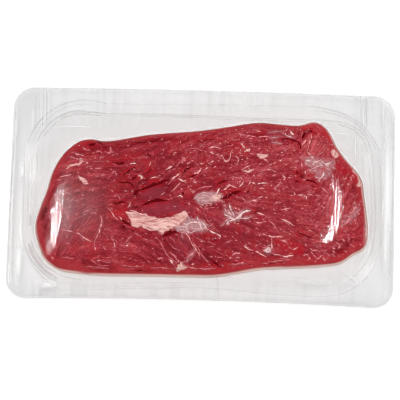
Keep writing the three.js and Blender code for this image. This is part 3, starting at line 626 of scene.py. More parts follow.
    (0.6, 0.5, 232.2, 255.8, 234, 254, 236, 252.8, 239.8, 253.6), (0.45, 0.4, 229.2, 258.7, 231.8, 257.3),
    (0.3, 0.35, 196.7, 237.8, 200, 239.5, 203.3, 240.8), (0.3, 0.3, 207.7, 241.3, 212, 243.3, 216.3, 244.6),
    (0.4, 0.5, 198.2, 246.7, 200, 246.2), (0.42, 0.4, 240.7, 262.9, 245.3, 263.4),
    (0.34, 0.4, 262.7, 262.6, 268.3, 263.1), (0.42, 0.5, 272.7, 262.1, 276.3, 261.4),
    (0.6, 0.3, 221.7, 264.3, 223.8, 266.3), (0.4, 0.3, 263, 247.8, 268, 247.2),
    (0.36, 0.35, 235.4, 240.4, 237.4, 240.8), (0.36, 0.35, 239.8, 241.6, 241, 242.4),
    (0.5, 0.35, 210, 256.6, 213.6, 257),
    # near rim
    (0.4, 0.2, 84, 266, 96, 268, 110, 268.6), (0.35, 0.15, 120, 265, 132, 266.4, 144, 267),
    (0.35, 0.25, 150, 267.5, 163, 268.6, 176, 269), (0.5, 0.3, 196, 268, 206, 268.4, 216, 268),
    (0.4, 0.35, 228, 265, 238, 264, 248, 263), (0.35, 0.2, 268, 261.5, 280, 260.6, 292, 260),
]

# grey-white web on the silverskin, by paleness
skinMarks = [
    # strip end
    (0.55, 0.85, 183.6, 223, 187, 224.5, 190, 223, 194, 222, 198, 222.5, 200.4, 225.4),
    (0.42, 0.7, 187, 224.5, 186, 228, 188.4, 229.4),
    (0.5, 0.85, 196.8, 217.2, 198, 220, 200, 223, 201, 227, 203.4, 228.8),
    (0.42, 0.75, 202.8, 222.6, 205, 226.5, 206.4, 228.8),
    (0.42, 0.6, 187.8, 230.8, 191, 232.5, 195, 231.5, 199, 229.5, 202.4, 226.8),
    (0.42, 0.5, 177.6, 229, 183, 229.5, 187, 231, 190.4, 233.4),
    (0.34, 0.5, 175.6, 226.6, 182, 226, 187, 226.6),
    (0.3, 0.45, 190, 226, 192.4, 228.4, 196.6, 228.6, 199, 226.2), (0.3, 0.5, 192, 218.6, 195, 220, 198, 219.6),
    (0.3, 0.4, 189, 220.4, 192.6, 221.6), (0.4, 0.6, 199, 223.6, 203, 224.4),
    (0.3, 0.4, 181, 232, 186, 233.4, 188.6, 236),
    # patch
    (0.36, 0.55, 196.8, 195.2, 200, 193.8, 205, 192.4, 211, 193.6),
    (0.36, 0.5, 196.2, 199.4, 200, 198.2, 206, 197.4), (0.36, 0.6, 197.8, 202.6, 201, 204.4, 204, 203.4),
    (0.3, 0.45, 198, 196.8, 203, 195.6, 208, 195.4), (0.3, 0.5, 200, 200.6, 205, 200, 209, 200.4),
    (0.3, 0.35, 195.6, 197.4, 197.4, 196.6),
    # tuft
    (0.55, 0.9, 228.8, 203.6, 230, 206.5, 231, 209, 232.5, 212, 234.3, 215.4),
    (0.28, 0.6, 224.3, 206.2, 225.5, 205.2, 226.2, 207.4),
    (0.34, 0.7, 224.3, 207.7, 226, 210.5, 228.5, 212.5, 231.4, 215.4),
    (0.42, 0.7, 227.8, 209.2, 229.5, 212, 231.3, 215),
    (0.38, 0.7, 224.2, 214.3, 227, 215.5, 230, 216.5, 233.4, 217.7),
    (0.3, 0.55, 224.7, 218.2, 228, 218, 231.4, 217.3), (0.3, 0.55, 226.6, 219.7, 230.4, 218.3),
    (0.5, 0.8, 226.2, 224.3, 229, 221.5, 232, 220, 236.4, 218.9), (0.3, 0.6, 227.3, 224.9, 229.8, 222.8),
    (0.3, 0.5, 223.7, 223.3, 226.5, 220.5, 229.8, 218.3), (0.22, 0.4, 220.2, 225.6, 222.5, 225, 225.4, 222.7),
    (0.8, 0.95, 230.6, 217.9, 234, 219, 238, 217.5, 241, 214.5, 244, 211.8, 247, 210.7, 250.6, 210.4),
    (0.34, 0.6, 234.7, 214.2, 237.4, 213.3), (0.7, 0.95, 232.8, 219.4, 235, 219.5),
    (0.5, 0.8, 237.7, 218, 242, 218, 246, 218.3, 249, 217.5, 251.4, 216.8),
    (0.3, 0.6, 240, 215.6, 243, 213.2, 246.4, 212), (0.3, 0.5, 232, 212.6, 235.4, 211.8, 237, 213),
    (0.25, 0.5, 222.6, 211.4, 226, 213),
    # net
    (0.7, 0.85, 305.7, 159.8, 308, 160.5, 310.4, 159.8), (0.55, 0.8, 310.7, 156.8, 313.3, 157.7),
    (0.65, 0.9, 312.7, 161.6, 316, 161.5, 319, 160.5, 320.4, 159.8),
    (0.65, 0.85, 321.7, 160.8, 324, 163, 327, 163.5, 331, 162, 332.8, 162.6),
    (0.5, 0.6, 312.7, 164.7, 315, 163, 318.3, 161.8), (0.34, 0.5, 319.7, 162.8, 322.3, 164.7),
    (0.42, 0.6, 329.7, 163.7, 332, 166.5, 335.4, 168.7),
    (0.38, 0.6, 311.7, 169.2, 315, 167.5, 318, 166, 321, 165.5, 324.4, 166.2),
    (0.34, 0.5, 313.8, 169.8, 316.3, 172.3), (0.6, 0.72, 323.6, 171.6, 323, 175, 320.8, 178.9),
    (0.38, 0.6, 314.7, 176.8, 318, 177.5, 321.3, 178.7), (0.65, 0.6, 326.7, 171.7, 329.8, 174.8),
    (0.42, 0.5, 318.8, 178.8, 319.7, 181.3), (0.4, 0.42, 324.7, 178.7, 327.3, 177.3),
    (0.3, 0.4, 305, 163, 309, 165.4, 312, 166), (0.3, 0.4, 309, 170.6, 311.6, 168.8),
    (0.3, 0.4, 325, 167.6, 328.6, 169.4, 331, 169), (0.3, 0.35, 306, 157, 309, 158.2),
    # flag
    (0.5, 0.85, 263.6, 250.6, 267, 249.8, 269.6, 247.4, 270.2, 250, 271.3, 252.6),
    (0.5, 0.7, 271, 252.4, 268, 252.2, 264.6, 251.2),
    # near
    (0.3, 0.4, 186.6, 258.2, 189.4, 255, 193, 252.4), (0.3, 0.35, 190.6, 257.4, 194, 253.2),
    (0.25, 0.3, 185.4, 262, 188.4, 259.6),
    # far haze
    (0.3, 0.3, 268, 132.6, 276, 131.6, 284, 131), (0.3, 0.3, 270, 137.6, 279, 136.8),
    (0.3, 0.25, 272, 142.6, 282, 143.4), (0.4, 0.4, 284.6, 134, 288, 136.4, 294, 137.4),
]

# soft areas of colour
softAreas = {
    "red": [
        (2.5, 1, 112, 213, 118, 214, 124, 212), (1.2, 0.8, 150, 180, 158, 179.5),
        (1.6, 1, 224, 193.5, 230, 190.5, 238, 189.5), (3, 0.9, 278, 243, 290, 246, 300, 250),
        (1.5, 0.9, 305, 129, 320, 131, 328, 137), (2, 0.8, 335, 165, 345, 172, 355, 180),
        (1.4, 0.9, 204, 267, 215, 268, 230, 266, 245, 264), (2.2, 0.6, 86, 238, 91, 244, 95, 249),
        (2, 0.6, 80, 146, 92, 144),
    ],
    "shade": [
        (1.3, 1, 45.8, 208.5, 44.5, 213, 43.4, 218.5), (0.6, 0.8, 47, 216, 46, 221, 44.5, 226),
        (1.2, 0.6, 120, 226, 126, 230), (1.0, 0.7, 300, 176, 303.5, 177), (1.4, 0.6, 303, 137, 307, 132),
        (1.8, 0.55, 84, 262, 95, 264.5, 110, 266.5), (1.8, 0.6, 333, 253.5, 341, 250, 348, 245.5),
        (0.8, 0.5, 96, 141, 115, 143.4, 140, 141.6, 175, 138.4),
    ],
    "dusk": [
        (3.5, 1, 145, 194, 160, 191), (3, 1, 148, 209, 170, 207, 190, 209), (3.5, 0.9, 184, 240, 181, 251),
        # the first two patches on the next line, at the left beside the left streak, also paint the film's
        # greyish sheen there as a painted reflection; the rest are dusky muscle
        (5, 0.6, 60, 212, 64, 236), (5, 0.6, 74, 203, 78, 224), (3, 0.6, 206, 213, 219, 218),
        (3, 0.5, 270, 134, 284, 142),
    ],
}


pattern = {
    # random lumps that a field adds up: amount, size in mm, seed
    "lumps": {
        "heading": [(0.12, 9, 11)],
        "fibre": [(1, 0.45, 21)], "bundle": [(1, 2.2, 22)],
        "grit": [(1, 0.8, 23)], "gritWide": [(0.5, 1.6, 24)],
        "warpX": [(0.4, 2.6, 61), (0.18, 1.1, 62)], "warpY": [(0.4, 2.6, 63), (0.18, 1.1, 64)],
        "blush": [(0.8, 4.5, 25), (0.5, 2, 26)],
        "fatEdge": [(0.12, 0.8, 33)], "skinEdge": [(0.5, 1.8, 31)], "cleftEdge": [(0.06, 1.0, 32)],
        "lace": [(1, 1.3, 66)], "laceLeft": [(1, 3.2, 67)], "glow": [(1, 3.5, 69)],
        "holes": [(0.75, 2.1, 71), (0.45, 1.0, 72)], "pale": [(1, 9, 61)],
    },
    # where a thing fades: none of it at the first value, all of it at the second
    "fades": {
        "softArea": (2.2, -1.2), "blush": (0.4, 1.6),
        "smoothX": (-50, -66), "smoothY": (12, -2), "crowd": (-35, 0),
        "fatRidge": (0.25, -0.2), "skin": (0.8, -0.8), "mist": (1.0, -1.3), "lace": (0.35, 0.05),
        "laceLeft": (-0.8, 0.6), "glow": (-0.6, 0.8), "haze": (1.0, -0.3), "veil": (1.3, -0.5),
        "relief": (0.5, 5), "gapDip": (0.3, -0.1), "rim": (6, 1), "edgeRight": (55, 80), "farSide": (-1, -8),
    },
    # how far the edges of marks stray, in turns of the warp
    "softSway": 0.7, "fatSway": 0.9, "skinSway": 1.0, "cleftSway": 0.3, "gapSway": 0.3,
    "fatFibre": 0.2, "laceFibre": 0.3, "gritShare": 0.7, "blushMost": 0.4, "softTip": 0.7,
    "glowOff": 0.8, "glowWide": 0.7, "dipWide": 0.6,  # mm beside a cleft
    # loose strokes: share of them at the left and further right, and how many the smooth and dusky parts lose
    "crowdLeast": 0.35, "crowdMore": 0.65, "smoothBare": 0.7, "duskBare": 0.85,
    "gapCrowd": 0.9, "gapSmooth": 0.6, "gapDusk": 0.7,
    "hatch": {"x": -80, "y": -12, "halfX": 9, "halfY": 10},
}


def lumpSum(name):
    return sum(amount * lumps(size, seed) for amount, size, seed in pattern["lumps"][name])


def faded(name, values):
    return ease(*pattern["fades"][name], values)


def grainHeading():
    # blends the patch directions, as doubled angles so that up and down count the same
    c2, s2 = np.zeros_like(canvasX), np.zeros_like(canvasX)
    for x, y, degrees in steak["grain"]:
        weight = np.exp(-((canvasX - x) ** 2 + (canvasY - y) ** 2) / steak["grainReach"] ** 2) + 1e-6
        c2 += weight * math.cos(math.radians(2 * degrees))
        s2 += weight * math.sin(math.radians(2 * degrees))
    angle = np.arctan2(s2, c2) / 2 + lumpSum("heading")
    return np.cos(angle), np.sin(angle)


def toneField():
    tone = np.zeros_like(canvasX)
    for x, y, reach, amount in steak["tones"]:
        tone += amount * np.exp(-((canvasX - x) ** 2 + (canvasY - y) ** 2) / reach ** 2)
    return tone


# loose strokes: lengths and half widths in mm, strength, and how far they turn off the grain in radians
scatter = {
    "flecks": {"count": 1000, "length": (0.5, 2.4), "half": (0.13, 0.36), "strength": (-0.2, 0.75),
               "turn": 0.5, "seed": 51},
    # specks: tiny near-white flecks that are painted glints on the wet surface
    "specks": {"count": 230, "length": (0.35, 1.1), "half": (0.2, 0.34), "strength": (0.75, 1.1),
               "turn": 0.8, "seed": 55},
    # gaps: short dark strokes between fibres, small dips whose dark red is partly painted shade
    "gaps": {"count": 520, "length": (1, 4.5), "half": (0.05, 0.26), "strength": (0.3, 0.9),
             "turn": 0.25, "seed": 52},
    "web": {"count": 170, "length": (0.8, 4), "half": (0.12, 0.24), "strength": (0.0, 0.6),
            "turn": 1.2, "seed": 54},
    "hatch": {"count": 110, "length": (1.5, 5), "half": (0.1, 0.18), "strength": (0.1, 0.6),
              "turn": 0.12, "seed": 53},
}
stroke = {
    "fromX": (-100, 102), "fromY": (-48, 48), "aboveRim": 0.4,  # where they may lie, in mm
    "curl": 0.35, "steps": 3, "widths": [0.35, 1, 0.9, 0.25],
}


def scatterRuns(kind, crowd):
    # short strokes along the grain, drawn at random but the same every run, more of them where crowd is high
    rule, steps = scatter[kind], stroke["steps"]
    draw = np.random.default_rng(rule["seed"])
    runs = []
    while len(runs) < rule["count"]:
        x, y = draw.uniform(*stroke["fromX"]), draw.uniform(*stroke["fromY"])
        length, half = draw.uniform(*rule["length"]), draw.uniform(*rule["half"])
        strength = draw.uniform(*rule["strength"])
        swing, curl = draw.normal(0, rule["turn"]), draw.normal(0, stroke["curl"])
        spot = (np.array([x]), np.array([y]))
        if draw.uniform() > readField(crowd, *spot)[0]:
            continue
        angle = math.atan2(readField(headingY, *spot)[0], readField(headingX, *spot)[0]) + swing
        stations = [(x, y)]
        for _ in range(steps):
            x += length / steps * math.cos(angle)
            y += length / steps * math.sin(angle)
            angle += curl
            stations.append((x, y))
        stations = np.array(stations)
        if heightAt(cutFace, *stations.T, 0).min() > steak["rimLevel"] + stroke["aboveRim"]:
            runs.append((stations, half * np.array(stroke["widths"]), strength))
    return runs


def bodyRun(body):
    points = np.array([seenAt(cutFace, px, py) for px, py, _ in body])
    return points, np.array([half * steak["pixel"] for _, _, half in body])


def strayed(runs, sway):
    # distance to strokes that wander a little off their drawn line
    return readField(runDistance([run[:2] for run in runs]), canvasX + sway * warpX, canvasY + sway * warpY)


def strayedBodies(bodies, sway):
    return strayed([bodyRun(body) for body in bodies], sway)


def softArea(name):
    share = np.zeros_like(canvasX)
    for mark in softAreas[name]:
        run = tracedRun(mark, cutFace, tip=pattern["softTip"])
        gone = runDistance([run[:2]]) + pattern["softSway"] * warpX
        share = np.maximum(share, mark[1] * faded("softArea", gone))
    return share


def cleftRun(mark):
    half, depth, *run = mark
    return tracedRun((steak["cleftSpread"] * half * depth, depth, *run), cutFace, tip=steak["cleftTip"])


cutFace = surfaceOf(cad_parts["steak"])
headingX, headingY = grainHeading()
fibre = smear(lumpSum("fibre"), headingX, headingY, steak["fibreReach"])
bundle = smear(lumpSum("bundle"), headingX, headingY, steak["bundleReach"])
grit = pattern["gritShare"] * smear(lumpSum("grit"), headingX, headingY, steak["gritReach"])
grit = grit + lumpSum("gritWide")
warpX, warpY = lumpSum("warpX"), lumpSum("warpY")
blush = np.maximum(pattern["blushMost"] * faded("blush", lumpSum("blush")), softArea("red"))
dusk, shade = softArea("dusk"), softArea("shade")

# where loose strokes are many
smoothLeft = faded("smoothX", canvasX) * faded("smoothY", canvasY)
crowd = pattern["crowdLeast"] + pattern["crowdMore"] * faded("crowd", canvasX)
crowd = crowd * (1 - pattern["smoothBare"] * smoothLeft) * (1 - pattern["duskBare"] * dusk)
gapCrowd = (pattern["gapCrowd"] - pattern["gapSmooth"] * smoothLeft) * (1 - pattern["gapDusk"] * dusk)
hatch = pattern["hatch"]
offX, offY = (canvasX - hatch["x"]) / hatch["halfX"], (canvasY - hatch["y"]) / hatch["halfY"]
hatched = np.exp(-offX ** 2 - offY ** 2)

# distances to the edges of the marks
cleftRuns = [cleftRun(mark) for mark in clefts]
gapRuns = scatterRuns("gaps", gapCrowd)
fatEdge = strayedBodies(fatBodies.values(), pattern["fatSway"]) + pattern["fatFibre"] * fibre
fatEdge = fatEdge + lumpSum("fatEdge")
skinEdge = strayedBodies(skinBodies.values(), pattern["skinSway"]) + lumpSum("skinEdge")
cleftEdge = strayed(cleftRuns, pattern["cleftSway"]) + lumpSum("cleftEdge")
gapEdge = strayed(gapRuns, pattern["gapSway"])

# shares of what lies on them and beside them
fatRidge = faded("fatRidge", fatEdge)
lace = faded("lace", np.abs(lumpSum("lace") + pattern["laceFibre"] * fibre))
skinShare = faded("skin", skinEdge)
holes = lumpSum("holes")
mist = np.zeros_like(canvasX)
for name, share in mistShares.items():
    gone = strayedBodies([skinBodies[name]], pattern["skinSway"])
    mist = np.maximum(mist, share * faded("mist", gone + holes))
skinLace = skinShare * lace * faded("laceLeft", lumpSum("laceLeft"))
besideCleft = (cleftEdge - pattern["glowOff"]) / pattern["glowWide"]
cleftGlow = np.exp(-besideCleft ** 2) * faded("glow", lumpSum("glow"))
cleftDip = np.exp(-np.clip(cleftEdge, 0, None) ** 2 / pattern["dipWide"] ** 2)
print("steak fields drawn")


# marbling: each drawn strand with finer fibres beside it, and loose flecks along the grain, among them tiny
# painted glints

marbling = {
    "lift": 0.03, "flat": 0.25, "step": 0.6,  # mm off the meat, share of the height left, mm between stations
    "sway": 0.3, "spread": 1.4, "seed": 71,
    "uneven": 0.25, "unevenLimits": (0.5, 1.6),  # how much the width goes up and down
    # fibres beside a strand: how many, half width, paleness, length and distance as shares of the strand's own
    "fibres": (0, 3), "fibreHalf": (0.3, 0.55), "fibrePale": (0.2, 0.7), "fibreLong": (0.3, 0.7),
    "fibreOff": (0.6, 1.5), "fibreGap": 0.12, "fibreFan": (0.6, 1.3), "fibreTips": (0.15, 3), "fibreThin": 0.2,
    "fewest": 5, "fibreFewest": 3,  # stations
    "hazeFrom": 0.3,  # paleness from which a strand has a haze round it
}


def frayed(marks, draw):
    runs = []
    for mark in marks:
        stations, halves, strength = tracedRun(mark, cutFace, marbling["step"])
        x, y = stations.T
        sway = np.column_stack((readField(warpX, x, y), readField(warpY, x, y)))
        stations = stations - marbling["sway"] * sway
        uneven = (1 + marbling["uneven"] * readField(grit, x, y)).clip(*marbling["unevenLimits"])
        halves = marbling["spread"] * halves * uneven
        runs.append((stations, halves, strength))
        if len(stations) < marbling["fewest"]:
            continue
        along = np.gradient(stations, axis=0)
        along /= np.hypot(*along.T)[:, None] + 1e-9
        across = np.column_stack((-along[:, 1], along[:, 0]))
        for _ in range(draw.integers(*marbling["fibres"])):
            start = draw.integers(0, len(stations) // 2)
            long = int(len(stations) * draw.uniform(*marbling["fibreLong"]))
            part = slice(start, start + max(marbling["fibreFewest"], long))
            side, off = draw.choice((-1, 1)), draw.uniform(*marbling["fibreOff"])
            gone = side * off * (halves.max() + marbling["fibreGap"])
            spread = np.linspace(*marbling["fibreFan"], len(stations[part]))[:, None]
            taper = np.sin(np.linspace(*marbling["fibreTips"], len(stations[part]))).clip(marbling["fibreThin"])
            half = halves.max() * draw.uniform(*marbling["fibreHalf"])
            pale = strength * draw.uniform(*marbling["fibrePale"])
            runs.append((stations[part] + across[part] * gone * spread, half * taper, pale))
    return runs


draw = np.random.default_rng(marbling["seed"])
fatRuns = frayed(fatMarks, draw)
# the specks laid with the fat are painted glints
fatRuns += scatterRuns("flecks", crowd) + scatterRuns("hatch", hatched) + scatterRuns("specks", crowd)
skinRuns = frayed(skinMarks, draw) + scatterRuns("web", skinShare)
haze = faded("haze", runDistance([run[:2] for run in fatRuns if run[2] > marbling["hazeFrom"]]))
veil = faded("veil", runDistance([run[:2] for run in skinRuns]))
print("marbling drawn")


film = {
    "cell": 0.95, "inset": 0.9, "corner": 12.4, "thickness": 0.12, "clear": 0.22, "gloss": 0.085,
    "topLevel": 19.5, "easing": 6,  # mm, its height over the steak and how softly the bend lines turn
    "rounds": 1500, "softening": 2,  # turns of averaging that pull it tight, and more that soften it
    # it bends down along four lines: places along the pack and across it, how steep, and how softly in mm
    "leftBend": {"slope": 0.34, "half": 7.0, "line": [
        (-56, -95.5), (-40, -93.3), (-28, -91.3), (-13, -89.4), (1, -88.7), (8, -87), (16, -82), (26, -75),
        (40, -62)]},
    "rightBend": {"slope": 0.26, "half": 7.5, "line": [
        (-56, 60), (-36, 74), (-27, 82.3), (-21, 84.8), (-14, 86.4), (-7, 87.6), (2, 88.2), (9, 86.6),
        (13.5, 84.8), (25, 79), (40, 73), (56, 66)]},
    "nearBend": {"slope": 0.55, "half": 5.0, "line": [
        (-120, -42), (-90, -43), (10, -43.5), (37, -39), (75, -35), (95, -29), (120, -25)]},
    "farBend": {"slope": 0.5, "half": 5.0, "line": [
        (-120, 22), (-77, 29), (-62, 29.5), (-34, 34), (-2, 37), (16, 40), (33, 43), (69, 45), (90, 40),
        (120, 36)]},
    "curveEnd": 140, "curveSlack": 0.1, "curveStep": 0.5,  # mm, for easing those lines
    "ripple": 0.02, "rippleSize": 1.9, "rippleReach": 9, "rippleSeed": 41,
    "offSteak": (10, 16),  # mm past the bend lines where the film has left the steak
    "touch": 0.25, "dull": 0.12,  # how far off the steak it still shines, and how little it shines elsewhere
    # y where the shine fades in and out, past this x, side
    "streaks": [(-41, -24, -14, 6, 60, -1), (-34, -24, -2, 14, 50, 1)],
    # painted highlights, soft white patches, most of them on the flange: x, y, half sizes, share
    "paintedHighlightPatches": [
        (-112.6, -44, 2.0, 13, 0.55), (-94.5, -58, 4.2, 2.2, 0.5), (-113, 13, 1.2, 6, 0.4),
        (70, -52, 11, 1.5, 0.12), (93, -51, 5.5, 3, 0.12), (114.5, -32, 1.4, 15, 0.25),
        (-84, -12, 4.5, 17, 0.06), (-72, -10, 11, 18, 0.025), (115.6, 6, 3, 40, 0.6),
    ],
    # nearGrey paints shade: the film turns greyer towards the near side
    "nearGrey": 0.04, "nearGreyFrom": (-38, -62),
    # faint lines along the machine direction: the film's uneven thickness, with painted shade and painted
    # highlights for the light its fine ridges catch
    "drawn": 0.05, "drawnSize": 2.2, "drawnLong": 0.05, "drawnMost": 2, "drawnSeed": 42,
}
bendNames = ("leftBend", "rightBend", "nearBend", "farBend")


def smoothCurve(points, at):
    # a line through the points with its corners eased, and its slope
    end, step = film["curveEnd"], film["curveStep"]
    fine = np.arange(-end, end + film["curveSlack"], step)
    reach = int(3 * film["easing"] / step)
    kernel = np.exp(-(np.arange(-reach, reach + 1) * step / film["easing"]) ** 2 / 2)
    line = np.pad(np.interp(fine, *zip(*points)), reach, mode="edge")
    line = np.convolve(line, kernel / kernel.sum(), "valid")
    return np.interp(at, fine, line), np.interp(at, fine, np.gradient(line, step))


def pastBend(name, x, y):
    # distance past one of the bend lines, outward
    alongY = name in ("leftBend", "rightBend")
    line, slope = smoothCurve(film[name]["line"], y if alongY else x)
    gone = (x if alongY else y) - line
    return (gone if name in ("rightBend", "farBend") else -gone) / np.sqrt(1 + slope * slope)


def tautTop(x, y):
    # how high the tight film lies over the steak
    swell = np.exp(-((x - steak["middleX"]) / steak["middleSpread"]) ** 2)
    top = film["topLevel"] + steak["middleRise"] * swell
    for name in bendNames:
        bend, gone = film[name], pastBend(name, x, y)
        top = top - bend["slope"] * (np.sqrt(gone * gone + bend["half"] ** 2) + gone) / 2
    return top


def nearBends(x, y):
    share = [np.exp(-(pastBend(name, x, y) / film["rippleReach"]) ** 2) for name in ("leftBend", "rightBend")]
    return np.maximum(*share)


def makeSteak():
    meat = bpy.data.objects.new("steak_meat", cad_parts["steak"].data.copy())
    bpy.context.scene.collection.objects.link(meat)
    meat.data.materials.clear()
    pickAll(meat)
    bpy.ops.mesh.remove_doubles(threshold=weld)
    bpy.ops.object.mode_set(mode="OBJECT")
    # keep the upper face only, then refine it
    verts, lowest = meat.data.vertices, steak["rimLevel"] - steak["rimSlack"]
    pick(meat, "FACE", lambda f: any(verts[i].co.z / mm < lowest for i in f.vertices))
    bpy.ops.mesh.delete(type="FACE")
    bpy.ops.mesh.select_all(action="SELECT")
    bpy.ops.mesh.tris_convert_to_quads(face_threshold=math.pi, shape_threshold=math.pi)
    bpy.ops.object.mode_set(mode="OBJECT")
    finishWith(meat, "SUBSURF", levels=1, render_levels=1)
    pickAll(meat)
    bpy.ops.mesh.subdivide(number_cuts=steak["cuts"])
    bpy.ops.object.mode_set(mode="OBJECT")
    spots = places(meat)
    print("steak upper face", len(spots), "points")

    # distance from the rim, measured to the open border of the face
    border = borderEdges(meat)
    rimSpots = spots[rimLoop(meat, border)][:, :2]
    fromRim = distanceToLoop(spots[:, :2], rimSpots)
    x, y = spots[:, 0], spots[:, 1]
    relief = steak["bundleRise"] * readField(bundle, x, y) + steak["fibreRise"] * readField(fibre, x, y)
    relief += steak["fatRise"] * readField(fatRidge, x, y)
    gapDip = faded("gapDip", readField(gapEdge, x, y))
    relief -= steak["cleftDepth"] * readField(cleftDip, x, y) + steak["gapDepth"] * gapDip
    spots[:, 2] += relief * faded("relief", fromRim)
    # the film presses the high spots flat
    lid = tautTop(x, y) - steak["underFilm"]
    over = np.clip(spots[:, 2] - lid + steak["press"], 0, None)
    spots[:, 2] -= over * over / (over + steak["press"])
    setPlaces(meat, spots)

    # the side goes down from the rim in steps and the underside is closed
    pick(meat, "EDGE", lambda e: e.index in border)
    level = steak["rimLevel"]
    for _, below in steak["sideSteps"]:
        extrudeEdges(below - level)
        level = below
    bpy.ops.mesh.edge_face_add()
    bpy.ops.mesh.select_all(action="SELECT")
    bpy.ops.mesh.normals_make_consistent(inside=False)
    bpy.ops.object.mode_set(mode="OBJECT")
    # each step of the side goes in or out along the rim's own outward direction
    spots = places(meat)
    outwardX, outwardY = rimOutward(rimSpots)
    for outward, below in steak["sideSteps"]:
        ring = np.where(np.abs(spots[:, 2] - below) < steak["sameLevel"])[0]
        gapX, gapY = (spots[ring, i][:, None] - rimSpots[None, :, i] for i in (0, 1))
        nearest = np.argmin(np.hypot(gapX, gapY), axis=1)
        spots[ring, 0] += outward * outwardX[nearest]
        spots[ring, 1] += outward * outwardY[nearest]
    setPlaces(meat, spots)
    x, y, z = spots.T
    fromRim = distanceToLoop(spots[:, :2], rimSpots)
    side = z < steak["rimLevel"] - steak["sideBelow"]
    fromRim[side] = 0
    # values that the material reads: distances first, then shares of the upper face, then the rest
    for name, field in {"fat": fatEdge, "cleft": cleftEdge, "gap": gapEdge}.items():
        paint(meat, name, np.where(side, canvas["reach"], readField(field, x, y)))
    for name, field in {"skin": skinShare, "lace": skinLace, "glow": cleftGlow, "haze": haze,
                        "veil": veil, "mist": mist}.items():
        paint(meat, name, np.where(side, 0, readField(field, x, y)))
    for name, field in {"fibre": fibre, "bundle": bundle, "grit": grit, "blush": blush, "dusk": dusk,
                        "shade": shade, "tone": toneField()}.items():
        paint(meat, name, readField(field, x, y))
    # the rim value paints a brighter red band along the rim: partly the meat's own colour, partly painted light
    # against the shade on the sloped shoulder
    paint(meat, "rim", faded("rim", fromRim))
    # the edge value paints a highlight: a pale line along the rim, wider and stronger to the right, left out
    # along the near rim
    toRight = faded("edgeRight", x)
    edge = ease(steak["edgeWide"] + steak["edgeWider"] * toRight, steak["edgeSharp"], fromRim)
    edge = edge * (steak["edgeShare"] + steak["edgeMore"] * toRight)
    paint(meat, "edge", edge * farSide(x, y) * np.where(side, 0, 1))
    # the side value paints the lower side pale: pale juice and fat at the foot, and a painted highlight that
    # gives the bright line along it and lightens the steep side
    paleBelow = steak["paleBelow"] + steak["paleSway"] * readField(lumpSum("pale"), x, y)
    paint(meat, "side", ease(steak["paleSoft"], -steak["paleSoft"], z - paleBelow))
    bpy.ops.object.shade_smooth()
    return meat, rimSpots


def farSide(x, y):
    # 0 along the near rim, where the side of the steak shows instead
    return faded("farSide", pastBend("nearBend", x, y))


def borderEdges(piece):
    # numbers of the edges that only one face uses
    uses = np.zeros(len(piece.data.edges), dtype=int)
    loopEdges = np.empty(len(piece.data.loops), dtype=int)
    piece.data.loops.foreach_get("edge_index", loopEdges)
    np.add.at(uses, loopEdges, 1)
    return set(np.where(uses == 1)[0].tolist())


def rimLoop(piece, border):
    # the border's vertex numbers in order
    links = {}
    for index in border:
        a, b = piece.data.edges[index].vertices
        links.setdefault(a, []).append(b)
        links.setdefault(b, []).append(a)
    start = min(links)
    loop, before = [start], None
    while True:
        step = [v for v in links[loop[-1]] if v != before]
        before = loop[-1]
        if step[0] == start:
            return loop
        loop.append(step[0])


def distanceToLoop(points, loop):
    best = np.full(len(points), np.inf)
    for a, b in zip(loop, np.roll(loop, -1, axis=0)):
        d = b - a
        share = np.clip(((points - a) @ d) / (d @ d + 1e-12), 0, 1)
        best = np.minimum(best, np.hypot(*(points - a - share[:, None] * d).T))
    return best


def rimOutward(loop):
    along = np.roll(loop, -2, axis=0) - np.roll(loop, 2, axis=0)
    area = np.sum(loop[:, 0] * np.roll(loop[:, 1], -1) - np.roll(loop[:, 0], -1) * loop[:, 1])
    turn = 1 if area > 0 else -1
    length = np.hypot(along[:, 0], along[:, 1])
    return turn * along[:, 1] / length, -turn * along[:, 0] / length


meat, rimSpots = makeSteak()
print("steak made,", len(meat.data.polygons), "faces")


# marbling laid on the meat

meatFace = surfaceOf(meat)
strands, paleness = strandPiece(
    "fat_marbling_and_painted_glints", fatRuns + skinRuns, meatFace, marbling["lift"], marbling["flat"], steak["rimLevel"])
paint(strands, "cream", paleness)
fatCount, skinCount = (sum(len(stations) for stations, _, _ in runs) for runs in (fatRuns, skinRuns))
paint(strands, "grey", np.arange(len(paleness)) >= fatCount / (fatCount + skinCount) * len(paleness) - 0.5)
x, y, _ = places(strands).T
paint(strands, "bed", np.maximum(readField(fatRidge, x, y), readField(mist, x, y)))
print("marbling laid,", len(strands.data.polygons), "faces")


# the tray

tray = {
    "length": 240, "width": 134, "corner": 13,
    "recessLength": 223.4, "recessWidth": 119.6, "recessCorner": 38,
    "flangeTop": 12.6, "floorTop": 0.6, "sheet": 0.6, "draft": 6,
    "rimBlend": 3, "floorBlend": 4, "lipDrop": 1.7, "lipRound": 1.2,
    "cornerSteps": 18, "blendSteps": 8, "longCuts": 24, "shortCuts": 10,
    "lipSteps": 3, "floorInner": (0.8, 0.7), "smoothAngle": 50,
    "straight": 20,  # an edge longer than this is a straight run
    "recessSlack": 0.1, "outlineSlack": 0.2, "sameLevel": 0.05, "footSlack": 0.02,
    # lipGrey paints shade, a dark outline along the turned-down lip, and floorGrey paints shade over the floor
    # of the recess
    "shine": 0.1, "gloss": 0.1, "lipGrey": 0.3, "lipWide": 1.3, "floorGrey": 0.06, "floorReach": 2,
    "nearBow": 2.2, "farBow": 1.2,  # how far the long edges bow towards the far side in the middle
    "bowFrom": (52, 66),  # mm across the tray where the bow fades in
}


